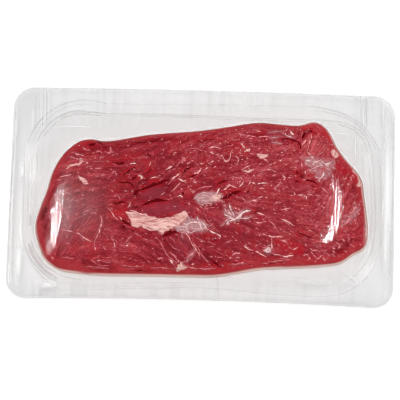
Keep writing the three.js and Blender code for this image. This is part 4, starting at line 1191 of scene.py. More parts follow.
def roundedPlate(length, width, corner, level):
    bpy.ops.object.select_all(action="DESELECT")
    bpy.ops.mesh.primitive_plane_add(size=1, location=(0, 0, level * mm))
    plate = bpy.context.object
    plate.scale = (length * mm, width * mm, 1)
    bpy.ops.object.transform_apply(location=True, rotation=True, scale=True)
    pick(plate, "VERT", lambda v: True)
    bpy.ops.mesh.bevel(offset=corner * mm, segments=tray["cornerSteps"], affect="VERTICES")
    # keep the outline only, and cut its straight runs so that they can bow
    bpy.ops.mesh.select_all(action="SELECT")
    bpy.ops.mesh.delete(type="ONLY_FACE")
    for axis, cuts in ((0, tray["longCuts"]), (1, tray["shortCuts"])):
        pick(plate, "EDGE", lambda e: abs(np.subtract(*edgeEnds(plate, e))[axis]) > tray["straight"])
        bpy.ops.mesh.subdivide(number_cuts=cuts)
    bpy.ops.object.mode_set(mode="OBJECT")
    return plate


def bowEdges(spots):
    share = np.clip(1 - (spots[:, 0] / (tray["length"] / 2)) ** 2, 0, 1)
    near, far = (ease(*tray["bowFrom"], side * spots[:, 1]) for side in (-1, 1))
    spots[:, 1] += share * (tray["nearBow"] * near + tray["farBow"] * far)
    return spots


def insideRecess(p):
    slack = tray["recessSlack"]
    return abs(p.x) < tray["recessLength"] / 2 + slack and abs(p.y) < tray["recessWidth"] / 2 + slack


def pastCorner(x, y, length, width, corner):
    # how far points lie past the straight parts of a rounded plate's sides
    return np.abs(x) - (length / 2 - corner), np.abs(y) - (width / 2 - corner)


def onOutline(p):
    overX, overY = pastCorner(p.x, p.y, tray["length"], tray["width"], tray["corner"])
    return math.hypot(max(overX, 0), max(overY, 0)) > tray["corner"] - tray["outlineSlack"]


def onWallFoot(p):
    # on the line where wall meets floor, before that line is rounded
    over = []
    for place, size in ((p.x, tray["recessLength"]), (p.y, tray["recessWidth"])):
        half = size / 2 - tray["draft"]
        corner = tray["recessCorner"] * half / (size / 2)
        over.append(max(abs(place) - (half - corner), 0) / corner)
    return abs(math.hypot(*over) - 1) < tray["footSlack"]


def makeTray():
    recess = roundedPlate(tray["recessLength"], tray["recessWidth"], tray["recessCorner"], tray["flangeTop"])
    body = roundedPlate(tray["length"], tray["width"], tray["corner"], tray["flangeTop"])
    body.name = body.data.name = "clear_tray"
    recess.select_set(True)
    bpy.ops.object.join()
    pick(body, "EDGE", lambda e: True)
    bpy.ops.mesh.bridge_edge_loops()
    # wall and floor of the recess
    top, bottom, slack = tray["flangeTop"], tray["floorTop"], tray["sameLevel"]
    pick(body, "EDGE", lambda e: all(insideRecess(p) for p in edgeEnds(body, e)))
    extrudeEdges(bottom - top)
    shrink = [1 - 2 * tray["draft"] / tray[size] for size in ("recessLength", "recessWidth")]
    bpy.ops.transform.resize(value=(shrink[0], shrink[1], 1), center_override=(0, 0, 0))
    extrudeEdges(0)
    bpy.ops.transform.resize(value=(*tray["floorInner"], 1), center_override=(0, 0, 0))
    bpy.ops.mesh.edge_face_add()
    # lip turned down round the flange
    pick(body, "EDGE", lambda e: all(onOutline(p) for p in edgeEnds(body, e)))
    extrudeEdges(-tray["lipDrop"])
    # round the three turns of the section
    for level, onTurn, blend, steps in (
            (top, insideRecess, "rimBlend", "blendSteps"), (bottom, onWallFoot, "floorBlend", "blendSteps"),
            (top, onOutline, "lipRound", "lipSteps")):
        pick(body, "EDGE", lambda e: all(abs(p.z - level) < slack and onTurn(p) for p in edgeEnds(body, e)))
        bpy.ops.mesh.bevel(offset=tray[blend] * mm, segments=tray[steps], affect="EDGES")
    bpy.ops.mesh.select_all(action="SELECT")
    bpy.ops.mesh.remove_doubles(threshold=weld)
    bpy.ops.mesh.normals_make_consistent(inside=False)
    bpy.ops.object.mode_set(mode="OBJECT")
    if sum(p.normal.z * p.area for p in body.data.polygons) < 0:
        bpy.ops.object.mode_set(mode="EDIT")
        bpy.ops.mesh.flip_normals()
        bpy.ops.object.mode_set(mode="OBJECT")
    spots = places(body)
    overX, overY = pastCorner(spots[:, 0], spots[:, 1], tray["length"], tray["width"], tray["corner"])
    fromEdge = tray["corner"] - np.hypot(overX.clip(0), overY.clip(0))
    fromEdge = np.where((overX > 0) | (overY > 0), fromEdge, np.inf)
    lowDown = spots[:, 2] < tray["floorTop"] + tray["floorReach"]
    lip = np.exp(-(fromEdge / tray["lipWide"]) ** 2)
    # the dark value is painted shade along the lip and over the recess floor
    paint(body, "dark", tray["lipGrey"] * lip + tray["floorGrey"] * lowDown)
    paint(body, "shine", np.full(len(spots), tray["shine"]))
    setPlaces(body, bowEdges(spots))
    finishWith(body, "SOLIDIFY", thickness=tray["sheet"] * mm, offset=-1, use_even_offset=True)
    bpy.ops.object.shade_smooth_by_angle(angle=math.radians(tray["smoothAngle"]))
    body.data.materials.clear()
    return body


trayBody = makeTray()
print("tray made,", len(trayBody.data.polygons), "faces")


# the film

def makeFilm():
    length, width = tray["length"] - 2 * film["inset"], tray["width"] - 2 * film["inset"]
    bpy.ops.object.select_all(action="DESELECT")
    bpy.ops.mesh.primitive_grid_add(
        x_subdivisions=round(length / film["cell"]), y_subdivisions=round(width / film["cell"]), size=1)
    sheet = bpy.context.object
    sheet.name = sheet.data.name = "skin_film"
    sheet.scale = (length * mm, width * mm, 1)
    bpy.ops.object.transform_apply(location=False, rotation=False, scale=True)
    spots = places(sheet)
    # round the corners: each corner square of the grid is eased onto a quarter disc
    inX, inY = length / 2 - film["corner"], width / 2 - film["corner"]
    u, v = (np.abs(spots[:, 0]) - inX) / film["corner"], (np.abs(spots[:, 1]) - inY) / film["corner"]
    corner = (u > 0) & (v > 0)
    spots[corner, 0] = np.sign(spots[corner, 0]) * (inX + film["corner"] * (u * np.sqrt(1 - v * v / 2))[corner])
    spots[corner, 1] = np.sign(spots[corner, 1]) * (inY + film["corner"] * (v * np.sqrt(1 - u * u / 2))[corner])
    spots = bowEdges(spots)
    x, y = spots[:, 0], spots[:, 1]
    # sealed flat on the flange, pulled tight from there over the steak
    columns = round(length / film["cell"]) + 1
    rows = len(spots) // columns
    seal = tray["flangeTop"] + film["clear"] + film["thickness"]
    sealed = overFlange(x, y).reshape(rows, columns)
    bed = tautTop(x, y).reshape(rows, columns)
    level = np.where(sealed, seal, np.maximum(bed, seal))
    for turn in range(film["rounds"] + film["softening"]):
        mean = level.copy()
        mean[1:-1, 1:-1] = (level[:-2, 1:-1] + level[2:, 1:-1] + level[1:-1, :-2] + level[1:-1, 2:]) / 4
        if turn < film["rounds"]:
            mean = np.maximum(mean, bed)
        level = np.where(sealed, seal, mean)
    touching = np.exp(-((level - bed) / film["touch"]) ** 2).ravel()
    ripples = readField(lumps(film["rippleSize"], film["rippleSeed"]), x, y)
    spots[:, 2] = level.ravel() + film["ripple"] * ripples * nearBends(x, y)
    setPlaces(sheet, spots)
    # painted highlights: soft white patches laid with the film's white part
    paintedHighlights = np.zeros(len(spots))
    for patchX, patchY, halfX, halfY, share in film["paintedHighlightPatches"]:
        paintedHighlights += share * np.exp(-((x - patchX) / halfX) ** 2 - ((y - patchY) / halfY) ** 2)
    # faint lines off the steak, partly painted shade and painted highlights
    drawn = readField(lumps(film["drawnSize"], film["drawnSeed"]), x, y * film["drawnLong"]) * offSteak(x, y)
    shining = touching
    for low, lowFull, highFull, high, past, side in film["streaks"]:
        shining = shining * np.where(x * side > past, ease(low, lowFull, y) * ease(high, highFull, y), 1)
    paint(sheet, "shine", film["dull"] + (1 - film["dull"]) * shining)
    paint(sheet, "pale", paintedHighlights + film["drawn"] / 2 * np.clip(-drawn, 0, film["drawnMost"]))
    # painted shade: the film darker towards the near side
    nearGrey = film["nearGrey"] * ease(*film["nearGreyFrom"], y)
    paint(sheet, "dark", film["drawn"] * np.clip(drawn, 0, film["drawnMost"]) + nearGrey)
    finishWith(sheet, "SOLIDIFY", thickness=film["thickness"] * mm, offset=-1)
    bpy.ops.object.shade_smooth()
    return sheet


def offSteak(x, y):
    # 0 over the steak, 1 from a few mm outside its rim
    return ease(*film["offSteak"], np.max([pastBend(name, x, y) for name in bendNames], axis=0))


def overFlange(x, y):
    overX, overY = pastCorner(x, y, tray["recessLength"], tray["recessWidth"], tray["recessCorner"])
    out = np.hypot(np.maximum(overX, 0), np.maximum(overY, 0)) + np.minimum(np.maximum(overX, overY), 0)
    return out > tray["recessCorner"]


filmSheet = makeFilm()
print("film made,", len(filmSheet.data.polygons), "faces")


# painted lines of light and shade along the turns of the tray and the stretch marks of the film

paintedLines = {
    "lift": 0.03, "flat": 0.2, "step": 1.2, "spread": 1.5,  # as for the marbling
    # a painted highlight: a white line just outside the steak's rim, over the shade there
    "rimLightLine": -0.34, "rimLightHalf": 0.6, "rimLightOut": 1.05, "rimLightShown": 0.5, "rimLightFewest": 3,
    # marks: grey lines of painted shade where their strength is above zero, white lines of painted highlight
    # where it is below zero
    # tray: painted shade and painted highlights along the tray's turns
    "tray": [
        (0.45, 0.5, 28, 143, 33, 131, 40, 121, 49, 112, 60, 105.5, 72, 101.5, 85, 100, 97, 101.5, 106, 103.5),
        (0.4, 0.25, 33, 141, 38, 131, 46, 121, 55, 113, 66, 107.3, 78, 104.5, 90, 104.5),
        (0.45, 0.16, 104, 103.4, 150, 104.5, 200, 104.5, 260, 105.5, 312, 106.6),
        (0.45, 0.5, 308, 106, 325, 108.5, 345, 114.5, 358, 122, 368, 131.5, 377, 145, 381, 153),
        (0.38, 0.35, 320, 110.5, 340, 115.5, 352, 121, 362, 129, 371, 140, 376, 150),
        (0.5, 0.55, 37.5, 141, 42, 132, 52, 121, 60, 116, 68, 112.5, 78, 111, 92, 112, 106, 113.6),
        (0.4, -0.3, 43.5, 136, 53, 124, 62, 118, 70, 115, 80, 113.3, 102, 115.6),
        (0.4, 0.25, 104, 113.5, 150, 114.3, 205, 116, 262, 118.7, 300, 119.5, 327, 120),
        (0.35, -0.15, 104, 115.3, 150, 116, 205, 117.7, 262, 120.4, 325, 122),
        (0.45, 0.4, 323, 120, 340, 122, 350, 125, 360, 131, 366, 138, 371, 150, 373, 166),
        (0.38, -0.3, 338, 123.8, 349, 127, 358, 133, 364, 141, 368.5, 153),
        (0.5, 0.35, 25, 148, 24, 180, 23, 210, 22, 235, 25, 247, 31, 262, 38, 272, 45, 279, 52, 285, 61, 290),
        (0.7, 0.55, 31, 240, 34, 250, 40, 259, 47, 267, 56, 272.5),
        (0.8, -0.4, 28.5, 243, 32.5, 254, 39.5, 264, 47, 272, 58, 278),
        (0.5, 0.4, 26, 247, 31, 259, 39, 269, 48, 277, 59, 283.4), (0.4, 0.3, 56, 273, 66, 277, 82, 280),
        (0.9, -0.5, 41, 278, 47, 282.5, 54.5, 286.4),
        (0.45, 0.3, 59, 290, 90, 290, 120, 288.5, 160, 288, 205, 288, 240, 291, 270, 294, 300, 296, 322, 297),
        (0.45, 0.35, 320, 297, 340, 294.5, 352, 289, 365, 279, 374, 264, 381, 243, 382.5, 220, 381, 190, 380,
         164), (0.4, 0.2, 62, 283, 90, 284.5, 130, 283.5, 170, 282.5, 205, 283.4),
        (0.5, 0.3, 373, 164, 375, 200, 375, 230, 371, 252, 362, 268, 350, 280, 341, 286.5),
        (0.4, -0.15, 369.5, 168, 371.5, 200, 371.5, 228, 367.5, 248, 359, 263),
    ],
    # film: the film's stretch marks and a few short lines, as painted shade and painted highlights
    "film": [
        (0.36, -0.3, 57, 126.5, 89, 126.5), (0.36, -0.3, 330, 133.5, 351, 133.5),
        (0.32, 0.35, 43.5, 88.5, 43, 110, 42.4, 127), (0.34, -0.35, 45.3, 88.5, 45, 112, 44.2, 133),
        (0.3, 0.35, 47, 88.8, 46.5, 110, 46, 124), (0.32, -0.25, 49, 90, 48.4, 119),
        (0.3, 0.2, 51.6, 91, 51, 113), (0.3, 0.2, 40, 91, 39.4, 122), (0.3, 0.2, 36, 95, 35, 130),
        (0.3, -0.2, 33.6, 98, 32.4, 126), (0.32, 0.3, 29.5, 158, 28, 200, 27, 231),
        (0.34, -0.25, 31.5, 157, 30, 195, 29, 226), (0.34, -0.25, 36, 148, 34.4, 180, 33, 206),
        (0.3, 0.25, 38.6, 145, 37, 170, 35.6, 191), (0.8, 0.4, 30.4, 214, 30, 226),
        (0.5, -0.3, 17.6, 112, 14, 170, 10.8, 240, 9.6, 286),
        (0.34, 0.25, 16, 110, 12.4, 170, 9, 240, 7.8, 285), (0.36, -0.3, 355.5, 136, 356, 162),
        (0.34, 0.3, 360.5, 96.6, 361, 136), (0.34, -0.3, 363, 96.8, 363.4, 129),
        (0.6, 0.35, 366, 97, 366.6, 129), (0.5, 0.25, 372, 97.4, 373, 126), (0.4, 0.2, 381, 99, 382, 129),
        (0.36, -0.3, 383.2, 103, 383.2, 125), (0.5, -0.3, 388.4, 224, 387.6, 281),
        (0.4, -0.3, 390.2, 154, 390.2, 177), (0.34, 0.15, 385, 129, 384, 200, 383, 271),
        (0.34, 0.25, 392.6, 120, 392, 200, 390, 285), (0.4, 0.25, 208, 276.4, 220, 276.4, 232, 277.8),
        (0.7, 0.2, 217.4, 275.6, 218.4, 297.4), (0.08, 0.2, 231, 277, 234, 283, 228, 287.4),
        (0.36, 0.22, 292, 277, 310, 280, 331, 284.2), (0.36, -0.2, 292, 278.6, 310, 281.6, 330, 285.8),
        (0.36, 0.2, 339, 271.6, 350, 279, 358.6, 286.6), (0.36, -0.2, 341, 271, 352, 278.4, 360, 285.6),
        (0.3, 0.15, 262, 283, 300, 280.4), (0.3, 0.15, 80, 287, 130, 286.4, 190, 285.6),
    ],
}


def paintedLineRuns(marks, surface):
    return [tracedRun((paintedLines["spread"] * mark[0], *mark[1:]), surface, paintedLines["step"]) for mark in marks]


def rimLightRuns(surface):
    # a painted highlight: a white line laid just outside where the camera sees the steak's rim, over the shade
    # there, except along the near side
    outline = rimSpots + paintedLines["rimLightOut"] * np.column_stack(rimOutward(rimSpots))
    outline = np.vstack((outline, outline[:1]))
    gone = np.concatenate(([0], np.hypot(*np.diff(outline, axis=0).T).cumsum()))
    at = np.arange(0, gone[-1], paintedLines["step"])
    stations = np.column_stack([np.interp(at, gone, side) for side in outline.T])
    shown = farSide(*stations.T) > paintedLines["rimLightShown"]
    cuts = np.flatnonzero(np.diff(shown.astype(int))) + 1
    runs = []
    for part, on in zip(np.split(stations, cuts), np.split(shown, cuts)):
        if not on[0] or len(part) <= paintedLines["rimLightFewest"]:
            continue
        sights = [Vector((x * mm, y * mm, steak["rimLevel"] * mm)) - eyePlace for x, y in part]
        spots = np.array([surface.ray_cast(eyePlace, sight.normalized())[0][:2] for sight in sights]) / mm
        runs.append((spots, np.full(len(spots), paintedLines["rimLightHalf"]), paintedLines["rimLightLine"]))
    return runs


paintedLinePieces = []
traySurface, filmSurface = surfaceOf(trayBody), surfaceOf(filmSheet)
for name, surface, runs in (
        ("tray_turn_light_and_shade", traySurface, paintedLineRuns(paintedLines["tray"], traySurface)),
        ("film_crease_light_and_shade", filmSurface, paintedLineRuns(paintedLines["film"], filmSurface) + rimLightRuns(filmSurface))):
    piece, strength = strandPiece(name, runs, surface, paintedLines["lift"], paintedLines["flat"], tray["flangeTop"])
    paint(piece, "line", strength)
    paintedLinePieces.append(piece)
    print(name, "laid,", len(piece.data.polygons), "faces")


def colour(code):
    # sRGB hex to linear
    parts = [int(code[i:i + 2], 16) / 255 for i in (1, 3, 5)]
    return tuple(p / 12.92 if p <= 0.04045 else ((p + 0.055) / 1.055) ** 2.4 for p in parts) + (1.0,)


def addNode(tree, kind, inputs=None, out=0, **settings):
    # adds one node and gives back its output; an input is a constant or another node's output
    node = tree.nodes.new("ShaderNode" + kind)
    for key, value in settings.items():
        setattr(node, key, value)
    for socket, value in (inputs or {}).items():
        if isinstance(value, bpy.types.NodeSocket):
            tree.links.new(value, node.inputs[socket])
        else:
            node.inputs[socket].default_value = value
    return node.outputs[out] if node.outputs else node


def newMaterial(name):
    material = bpy.data.materials.new(name)
    material.use_nodes = True
    material.node_tree.nodes.clear()
    return material, material.node_tree


beef = {
    "tones": [(0.2, "#4e0009"), (0.5, "#93242f"), (0.88, "#e66e74")],  # level and colour of the muscle
    # rim is a brighter red, partly painted light on the sloped shoulder
    "blush": "#b01c26", "dusk": "#8c3442", "shade": "#5c000c", "rim": "#cc3a40", "glow": "#a4101c",
    "skin": "#b0626a", "lace": "#cfa8a8", "haze": "#bc5a62", "veil": "#c88a8e", "mist": "#cba9ab",
    # edge is the colour of the painted highlight along the rim
    "edge": "#eec4ba", "side": "#f3cfc6", "gap": "#5e000a", "cleft": "#620009",
    "fat": "#f2c8be", "fatPink": "#c9827d",
    "weights": {"fibre": 0.035, "bundle": 0.03, "grit": 0.028, "tone": 0.35},  # of painted values in that level
    # share of each colour that is laid over it, in this order
    "washes": {"dusk": 0.5, "blush": 0.75, "rim": 0.55, "glow": 0.6, "shade": 0.85, "haze": 0.22,
               "skin": 0.35, "mist": 0.8, "veil": 0.35, "lace": 0.35, "edge": 0.85},
    # the gap and cleft colours are partly painted shade in those dips
    "edges": {"gap": 0.8, "cleft": 1.0},  # the same for marks with a sharp edge
    "soft": 0.17, "fatSoft": 0.34, "ragged": 0.4,  # mm over which a mark fades, and how far the grain frays it
    # mm size of the thin places in the silverskin, what is left of it there, and the noise they lie between
    "holes": 0.75, "holeDetail": 1.0, "holeLow": 0.35, "holeSpan": (0.38, 0.58),
    # mm size of the finest grain, and how much it shows; real fibres are finer, and this is what shows
    "grain": 0.38, "grainDetail": 3.0, "grainRough": 0.65, "grainDepth": 0.36,
    "fatGrain": 1.8, "fatMean": 0.55, "fatFibre": 0.3,  # how the same grain shows in the fat
    "roughness": 0.5, "specular": 0.02, "ior": 1.4,
}


def beefMaterial():
    # raw beef: deep red muscle in paler fibre bundles, dark gaps, cream fat and greyish silverskin, wet and
    # a little soft
    material, tree = newMaterial("Raw beef muscle")
    names = [*beef["weights"], *beef["washes"], *beef["edges"], "fat", "side"]
    reads = {name: addNode(tree, "Attribute", out="Fac", attribute_name=name) for name in names}
    place = addNode(tree, "TexCoord", out="Object")
    grain = addNode(tree, "TexNoise", {
        "Vector": place, "Scale": 1 / (2 * beef["grain"] * mm), "Detail": beef["grainDetail"],
        "Roughness": beef["grainRough"]})
    evenGrain = addNode(tree, "Math", {0: grain, 1: 0.5}, operation="SUBTRACT")
    level = addNode(tree, "Math", {0: evenGrain, 1: 2 * beef["grainDepth"], 2: 0.5}, operation="MULTIPLY_ADD")
    for name, weight in beef["weights"].items():
        level = addNode(tree, "Math", {0: reads[name], 1: weight, 2: level}, operation="MULTIPLY_ADD")
    look = addNode(tree, "ValToRGB", {0: level})
    stops = look.node.color_ramp.elements
    (low, dark), (middle, mid), (high, pale) = beef["tones"]
    stops[0].position, stops[1].position = low, high
    stops[0].color, stops[1].color = colour(dark), colour(pale)
    stops.new(middle).color = colour(mid)
    holes = addNode(tree, "TexNoise", {
        "Vector": place, "Scale": 1 / (2 * beef["holes"] * mm), "Detail": beef["holeDetail"]})
    low, high = beef["holeSpan"]
    holes = addNode(tree, "MapRange", {0: holes, 1: low, 2: high, 3: beef["holeLow"], 4: 1})
    for name, amount in beef["washes"].items():
        share = addNode(tree, "Math", {0: reads[name], 1: amount}, operation="MULTIPLY")
        if name == "mist":
            share = addNode(tree, "Math", {0: share, 1: holes}, operation="MULTIPLY")
        look = addNode(tree, "Mix", {0: share, 6: look, 7: colour(beef[name])}, 2, data_type="RGBA")
    fatLevel = addNode(
        tree, "Math", {0: evenGrain, 1: beef["fatGrain"], 2: beef["fatMean"]}, operation="MULTIPLY_ADD")
    fatLevel = addNode(
        tree, "Math", {0: reads["fibre"], 1: beef["fatFibre"], 2: fatLevel}, operation="MULTIPLY_ADD")
    fatTone = addNode(tree, "Mix", {
        0: fatLevel, 6: colour(beef["fatPink"]), 7: colour(beef["fat"])}, 2, data_type="RGBA")
    # gaps, clefts and fat are painted as a distance to the mark's edge, so that the edge stays sharp; the dark
    # of gaps and clefts is partly painted shade
    marks = [(name, amount, colour(beef[name]), beef["soft"]) for name, amount in beef["edges"].items()]
    for name, amount, tone, soft in marks + [("fat", 1, fatTone, beef["fatSoft"])]:
        edge = addNode(
            tree, "Math", {0: evenGrain, 1: beef["ragged"], 2: reads[name]}, operation="MULTIPLY_ADD")
        share = addNode(tree, "MapRange", {0: edge, 1: soft, 2: -soft, 3: 0, 4: amount})
        look = addNode(tree, "Mix", {0: share, 6: look, 7: tone}, 2, data_type="RGBA")
    # the lower side is laid pale, partly as a painted highlight
    look = addNode(tree, "Mix", {0: reads["side"], 6: look, 7: colour(beef["side"])}, 2, data_type="RGBA")
    shader = addNode(tree, "BsdfPrincipled", {
        "Base Color": look, "Roughness": beef["roughness"], "IOR": beef["ior"],
        "Specular IOR Level": beef["specular"]})
    addNode(tree, "OutputMaterial", {"Surface": shader})
    return material


strandFat = {
    # paleness and colour along it
    "tones": [(-0.3, "#ae3a44"), (0, "#c24c54"), (0.4, "#d67078"), (0.7, "#f6a4a2"), (1, "#ffd8d2")],
    "greys": ("#b8707a", "#f6d0d0"), "meat": "#a63a44", "bed": "#d8aeac",
    "grain": 1.1, "grainDetail": 2.0, "grainDepth": 1.1,  # mm size, and how much it shows
    "ragged": 2.2, "solidSpan": (0.05, 0.9),  # how the thin sides of a strand fade into the meat
    "roughness": 0.5, "specular": 0.02, "ior": 1.4,
}


def strandMaterial():
    # beef fat: pink where a strand is thin, cream where it is thick, grey-white on the silverskin
    material, tree = newMaterial("Beef fat strands")
    cream, grey, core, bed = [
        addNode(tree, "Attribute", out="Fac", attribute_name=name) for name in ("cream", "grey", "core", "bed")]
    place = addNode(tree, "TexCoord", out="Object")
    grain = addNode(tree, "TexNoise", {
        "Vector": place, "Scale": 1 / (2 * strandFat["grain"] * mm), "Detail": strandFat["grainDetail"]})
    evenGrain = addNode(tree, "Math", {0: grain, 1: 0.5}, operation="SUBTRACT")
    level = addNode(
        tree, "Math", {0: evenGrain, 1: strandFat["grainDepth"], 2: cream}, operation="MULTIPLY_ADD")
    tones = strandFat["tones"]
    low, high = tones[0][0], tones[-1][0]
    share = addNode(tree, "MapRange", {0: level, 1: low, 2: high, 3: 0, 4: 1})
    thread = addNode(tree, "ValToRGB", {0: share})
    stops = thread.node.color_ramp.elements
    stops[0].color, stops[1].color = colour(tones[0][1]), colour(tones[-1][1])
    for value, code in tones[1:-1]:
        stops.new((value - low) / (high - low)).color = colour(code)
    thin, thick = (colour(code) for code in strandFat["greys"])
    web = addNode(tree, "Mix", {0: level, 6: thin, 7: thick}, 2, data_type="RGBA")
    look = addNode(tree, "Mix", {0: grey, 6: thread, 7: web}, 2, data_type="RGBA")
    # the thin sides of a strand let the meat show through
    frayedCore = addNode(
        tree, "Math", {0: evenGrain, 1: strandFat["ragged"], 2: core}, operation="MULTIPLY_ADD")
    low, high = strandFat["solidSpan"]
    solid = addNode(
        tree, "MapRange", {0: frayedCore, 1: low, 2: high, 3: 0, 4: 1}, interpolation_type="SMOOTHSTEP")
    under = addNode(tree, "Mix", {
        0: bed, 6: colour(strandFat["meat"]), 7: colour(strandFat["bed"])}, 2, data_type="RGBA")
    look = addNode(tree, "Mix", {0: solid, 6: under, 7: look}, 2, data_type="RGBA")
    shader = addNode(tree, "BsdfPrincipled", {
        "Base Color": look, "Roughness": strandFat["roughness"], "IOR": strandFat["ior"],
        "Specular IOR Level": strandFat["specular"]})
    addNode(tree, "OutputMaterial", {"Surface": shader})
    return material


clear = {
    # line is the grey of painted shade; the white diffuse colour is that of painted highlights, and the last
    # grey that of the painted shade lines
    "body": "#fbfbfb", "slant": "#f9f9f9", "line": "#d8d8d8", "paintedWhite": "#f8f8f8", "paintedLineGrey": "#e6e6e6",
    "white": "#ffffff", "mirror": 0.022, "facing": 0.5, "grazing": 5.0,
    # fine lines and specks in the shine: mm size, how dull they are, and the noise they lie between
    "drawn": (0.95, 18, 18), "drawnDetail": 2.0, "drawnRough": 0.6, "drawnLow": 0.14, "drawnSpan": (0.46, 0.58),
    "speck": 0.5, "speckDetail": 1.0, "speckLow": 0.22, "speckSpan": (0.38, 0.56),
}


def clearMaterial(name, gloss):
    # clear drawn plastic: lets nearly all light through, with a sharp shine, a little greyer where it slants,
    # grey where painted shade lies and white where painted highlights lie
    material, tree = newMaterial(name)
    facing = addNode(tree, "LayerWeight", {"Blend": clear["facing"]}, "Facing")
    grazing = addNode(tree, "Math", {0: facing, 1: clear["grazing"]}, operation="POWER")
    tight, dark, pale = [
        addNode(tree, "Attribute", out="Fac", attribute_name=part) for part in ("shine", "dark", "pale")]
    glint = addNode(tree, "Math", {0: grazing, 1: clear["mirror"]}, operation="ADD")
    place = addNode(tree, "TexCoord", out="Object")
    drawn = addNode(tree, "Mapping", {"Vector": place, "Scale": [1 / (size * mm) for size in clear["drawn"]]})
    lines = addNode(tree, "TexNoise", {
        "Vector": drawn, "Scale": 1.0, "Detail": clear["drawnDetail"], "Roughness": clear["drawnRough"]})
    specks = addNode(tree, "TexNoise", {
        "Vector": place, "Scale": 1 / (2 * clear["speck"] * mm), "Detail": clear["speckDetail"]})
    broken = glint
    for noise, kind in ((lines, "drawn"), (specks, "speck")):
        low, high = clear[kind + "Span"]
        share = addNode(tree, "MapRange", {0: noise, 1: low, 2: high, 3: clear[kind + "Low"], 4: 1})
        broken = addNode(tree, "Math", {0: broken, 1: share}, operation="MULTIPLY")
    shine = addNode(tree, "Math", {0: tight, 1: broken}, operation="MULTIPLY")
    slant = addNode(tree, "Mix", {
        0: facing, 6: colour(clear["body"]), 7: colour(clear["slant"])}, 2, data_type="RGBA")
    tint = addNode(tree, "Mix", {0: dark, 6: slant, 7: colour(clear["line"])}, 2, data_type="RGBA")
    through = addNode(tree, "BsdfTransparent", {"Color": tint})
    # the white diffuse part shows the painted highlights
    paintedWhite = addNode(tree, "BsdfDiffuse", {"Color": colour(clear["paintedWhite"])})
    body = addNode(tree, "MixShader", {0: pale, 1: through, 2: paintedWhite})
    mirror = addNode(tree, "BsdfGlossy", {"Color": colour(clear["white"]), "Roughness": gloss})
    addNode(tree, "OutputMaterial", {"Surface": addNode(tree, "MixShader", {0: shine, 1: body, 2: mirror})})
    return material


def paintedLineMaterial():
    # lines on the clear plastic: thin grey lines of painted shade and white ones of painted highlight
    material, tree = newMaterial("Clear plastic lines of painted light and shade")
    line, core = [addNode(tree, "Attribute", out="Fac", attribute_name=name) for name in ("line", "core")]
    line = addNode(tree, "Math", {0: line, 1: core}, operation="MULTIPLY")
    dark, pale = [addNode(tree, "MapRange", {0: line, 1: 0, 2: end, 3: 0, 4: 1}) for end in (1, -1)]
    tint = addNode(tree, "Mix", {
        0: dark, 6: colour(clear["white"]), 7: colour(clear["paintedLineGrey"])}, 2, data_type="RGBA")
    through = addNode(tree, "BsdfTransparent", {"Color": tint})
    paintedWhite = addNode(tree, "BsdfDiffuse", {"Color": colour(clear["paintedWhite"])})
    addNode(tree, "OutputMaterial", {"Surface": addNode(tree, "MixShader", {0: pale, 1: through, 2: paintedWhite})})
    return material


paintedLineLook = paintedLineMaterial()
trayPlastic = clearMaterial("Clear formed PET sheet", tray["gloss"])
filmPlastic = clearMaterial("Clear skin film", film["gloss"])
for piece, node, slotName, material in (
        (meat, "steak", "raw_beef", beefMaterial()), (strands, None, "raw_beef", strandMaterial()),
        (trayBody, "tray", "clear_tray", trayPlastic), (paintedLinePieces[0], None, "clear_tray", paintedLineLook),
        (filmSheet, "film", "clear_film", filmPlastic), (paintedLinePieces[1], None, "clear_film", paintedLineLook)):
    piece.data.materials.clear()
    piece.data.materials.append(material)
    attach(piece, "root")
    if node:
        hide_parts(node)
print("materials made")


# stage, light and camera

stage = {
    "floorSize": 6, "floorLevel": -0.3, "floor": "#f4f4f4",  # metres across, mm
    "sky": "#ffffff", "world": 0.45, "worldShine": 0.05,  # strength of the sky, and of its reflection
    "clearBounces": 32, "filter": 1.0,
}

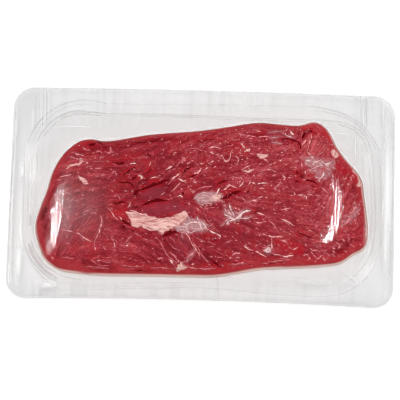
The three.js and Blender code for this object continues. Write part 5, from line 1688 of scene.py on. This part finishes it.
bpy.ops.object.select_all(action="DESELECT")
bpy.ops.mesh.primitive_plane_add(size=stage["floorSize"], location=(0, 0, stage["floorLevel"] * mm))
floor = bpy.context.object
floor.name = "floor"
paper, tree = newMaterial("White paper sweep")
board = addNode(tree, "BsdfDiffuse", {"Color": colour(stage["floor"])})
addNode(tree, "OutputMaterial", {"Surface": board})
floor.data.materials.append(paper)

world = bpy.data.worlds.new("soft studio")
bpy.context.scene.world = world
world.use_nodes = True
tree = world.node_tree
tree.nodes.clear()
shinyRay = addNode(tree, "LightPath", out="Is Glossy Ray")
strength = addNode(tree, "MapRange", {0: shinyRay, 1: 0, 2: 1, 3: stage["world"], 4: stage["worldShine"]})
sky = addNode(tree, "Background", {0: colour(stage["sky"]), 1: strength})
addNode(tree, "OutputWorld", {0: sky})

# metres, watts, and whether matt surfaces and reflections see the lamp
lights = {
    "overhead": {"at": (0.0, -0.06, 1.7), "size": (0.5, 0.5), "watts": 24, "lights": True, "shines": False},
    "stripLeft": {"at": (-0.575, 0.1, 1.0), "size": (0.3, 0.43), "watts": 29, "lights": False, "shines": True},
    "stripRight": {
        "at": (0.335, 0.085, 1.0), "size": (0.135, 0.4), "watts": 10, "lights": False, "shines": True},
}
for name, light in lights.items():
    data = bpy.data.lights.new(name, "AREA")
    data.shape = "RECTANGLE"
    data.size, data.size_y = light["size"]
    data.energy = light["watts"]
    lamp = bpy.data.objects.new(name, data)
    bpy.context.scene.collection.objects.link(lamp)
    lamp.location = light["at"]
    if light["lights"]:
        lamp.rotation_euler = (-Vector(light["at"])).to_track_quat("-Z", "Y").to_euler()
    lamp.visible_camera = False
    lamp.visible_diffuse = light["lights"]
    lamp.visible_glossy = light["shines"]

lensData = bpy.data.cameras.new("camera")
lensData.lens, lensData.sensor_width = camera["lens"], camera["sensor"]
lensData.clip_start, lensData.clip_end = camera["clip"]
eye = bpy.data.objects.new("camera", lensData)
bpy.context.scene.collection.objects.link(eye)
eye.matrix_world = Matrix.Translation(eyePlace) @ cameraAxes.to_4x4()
scene = bpy.context.scene
scene.camera = eye
scene.view_settings.view_transform = "Standard"
scene.cycles.transparent_max_bounces = stage["clearBounces"]
scene.cycles.filter_width = stage["filter"]
print("stage, lights and camera set")
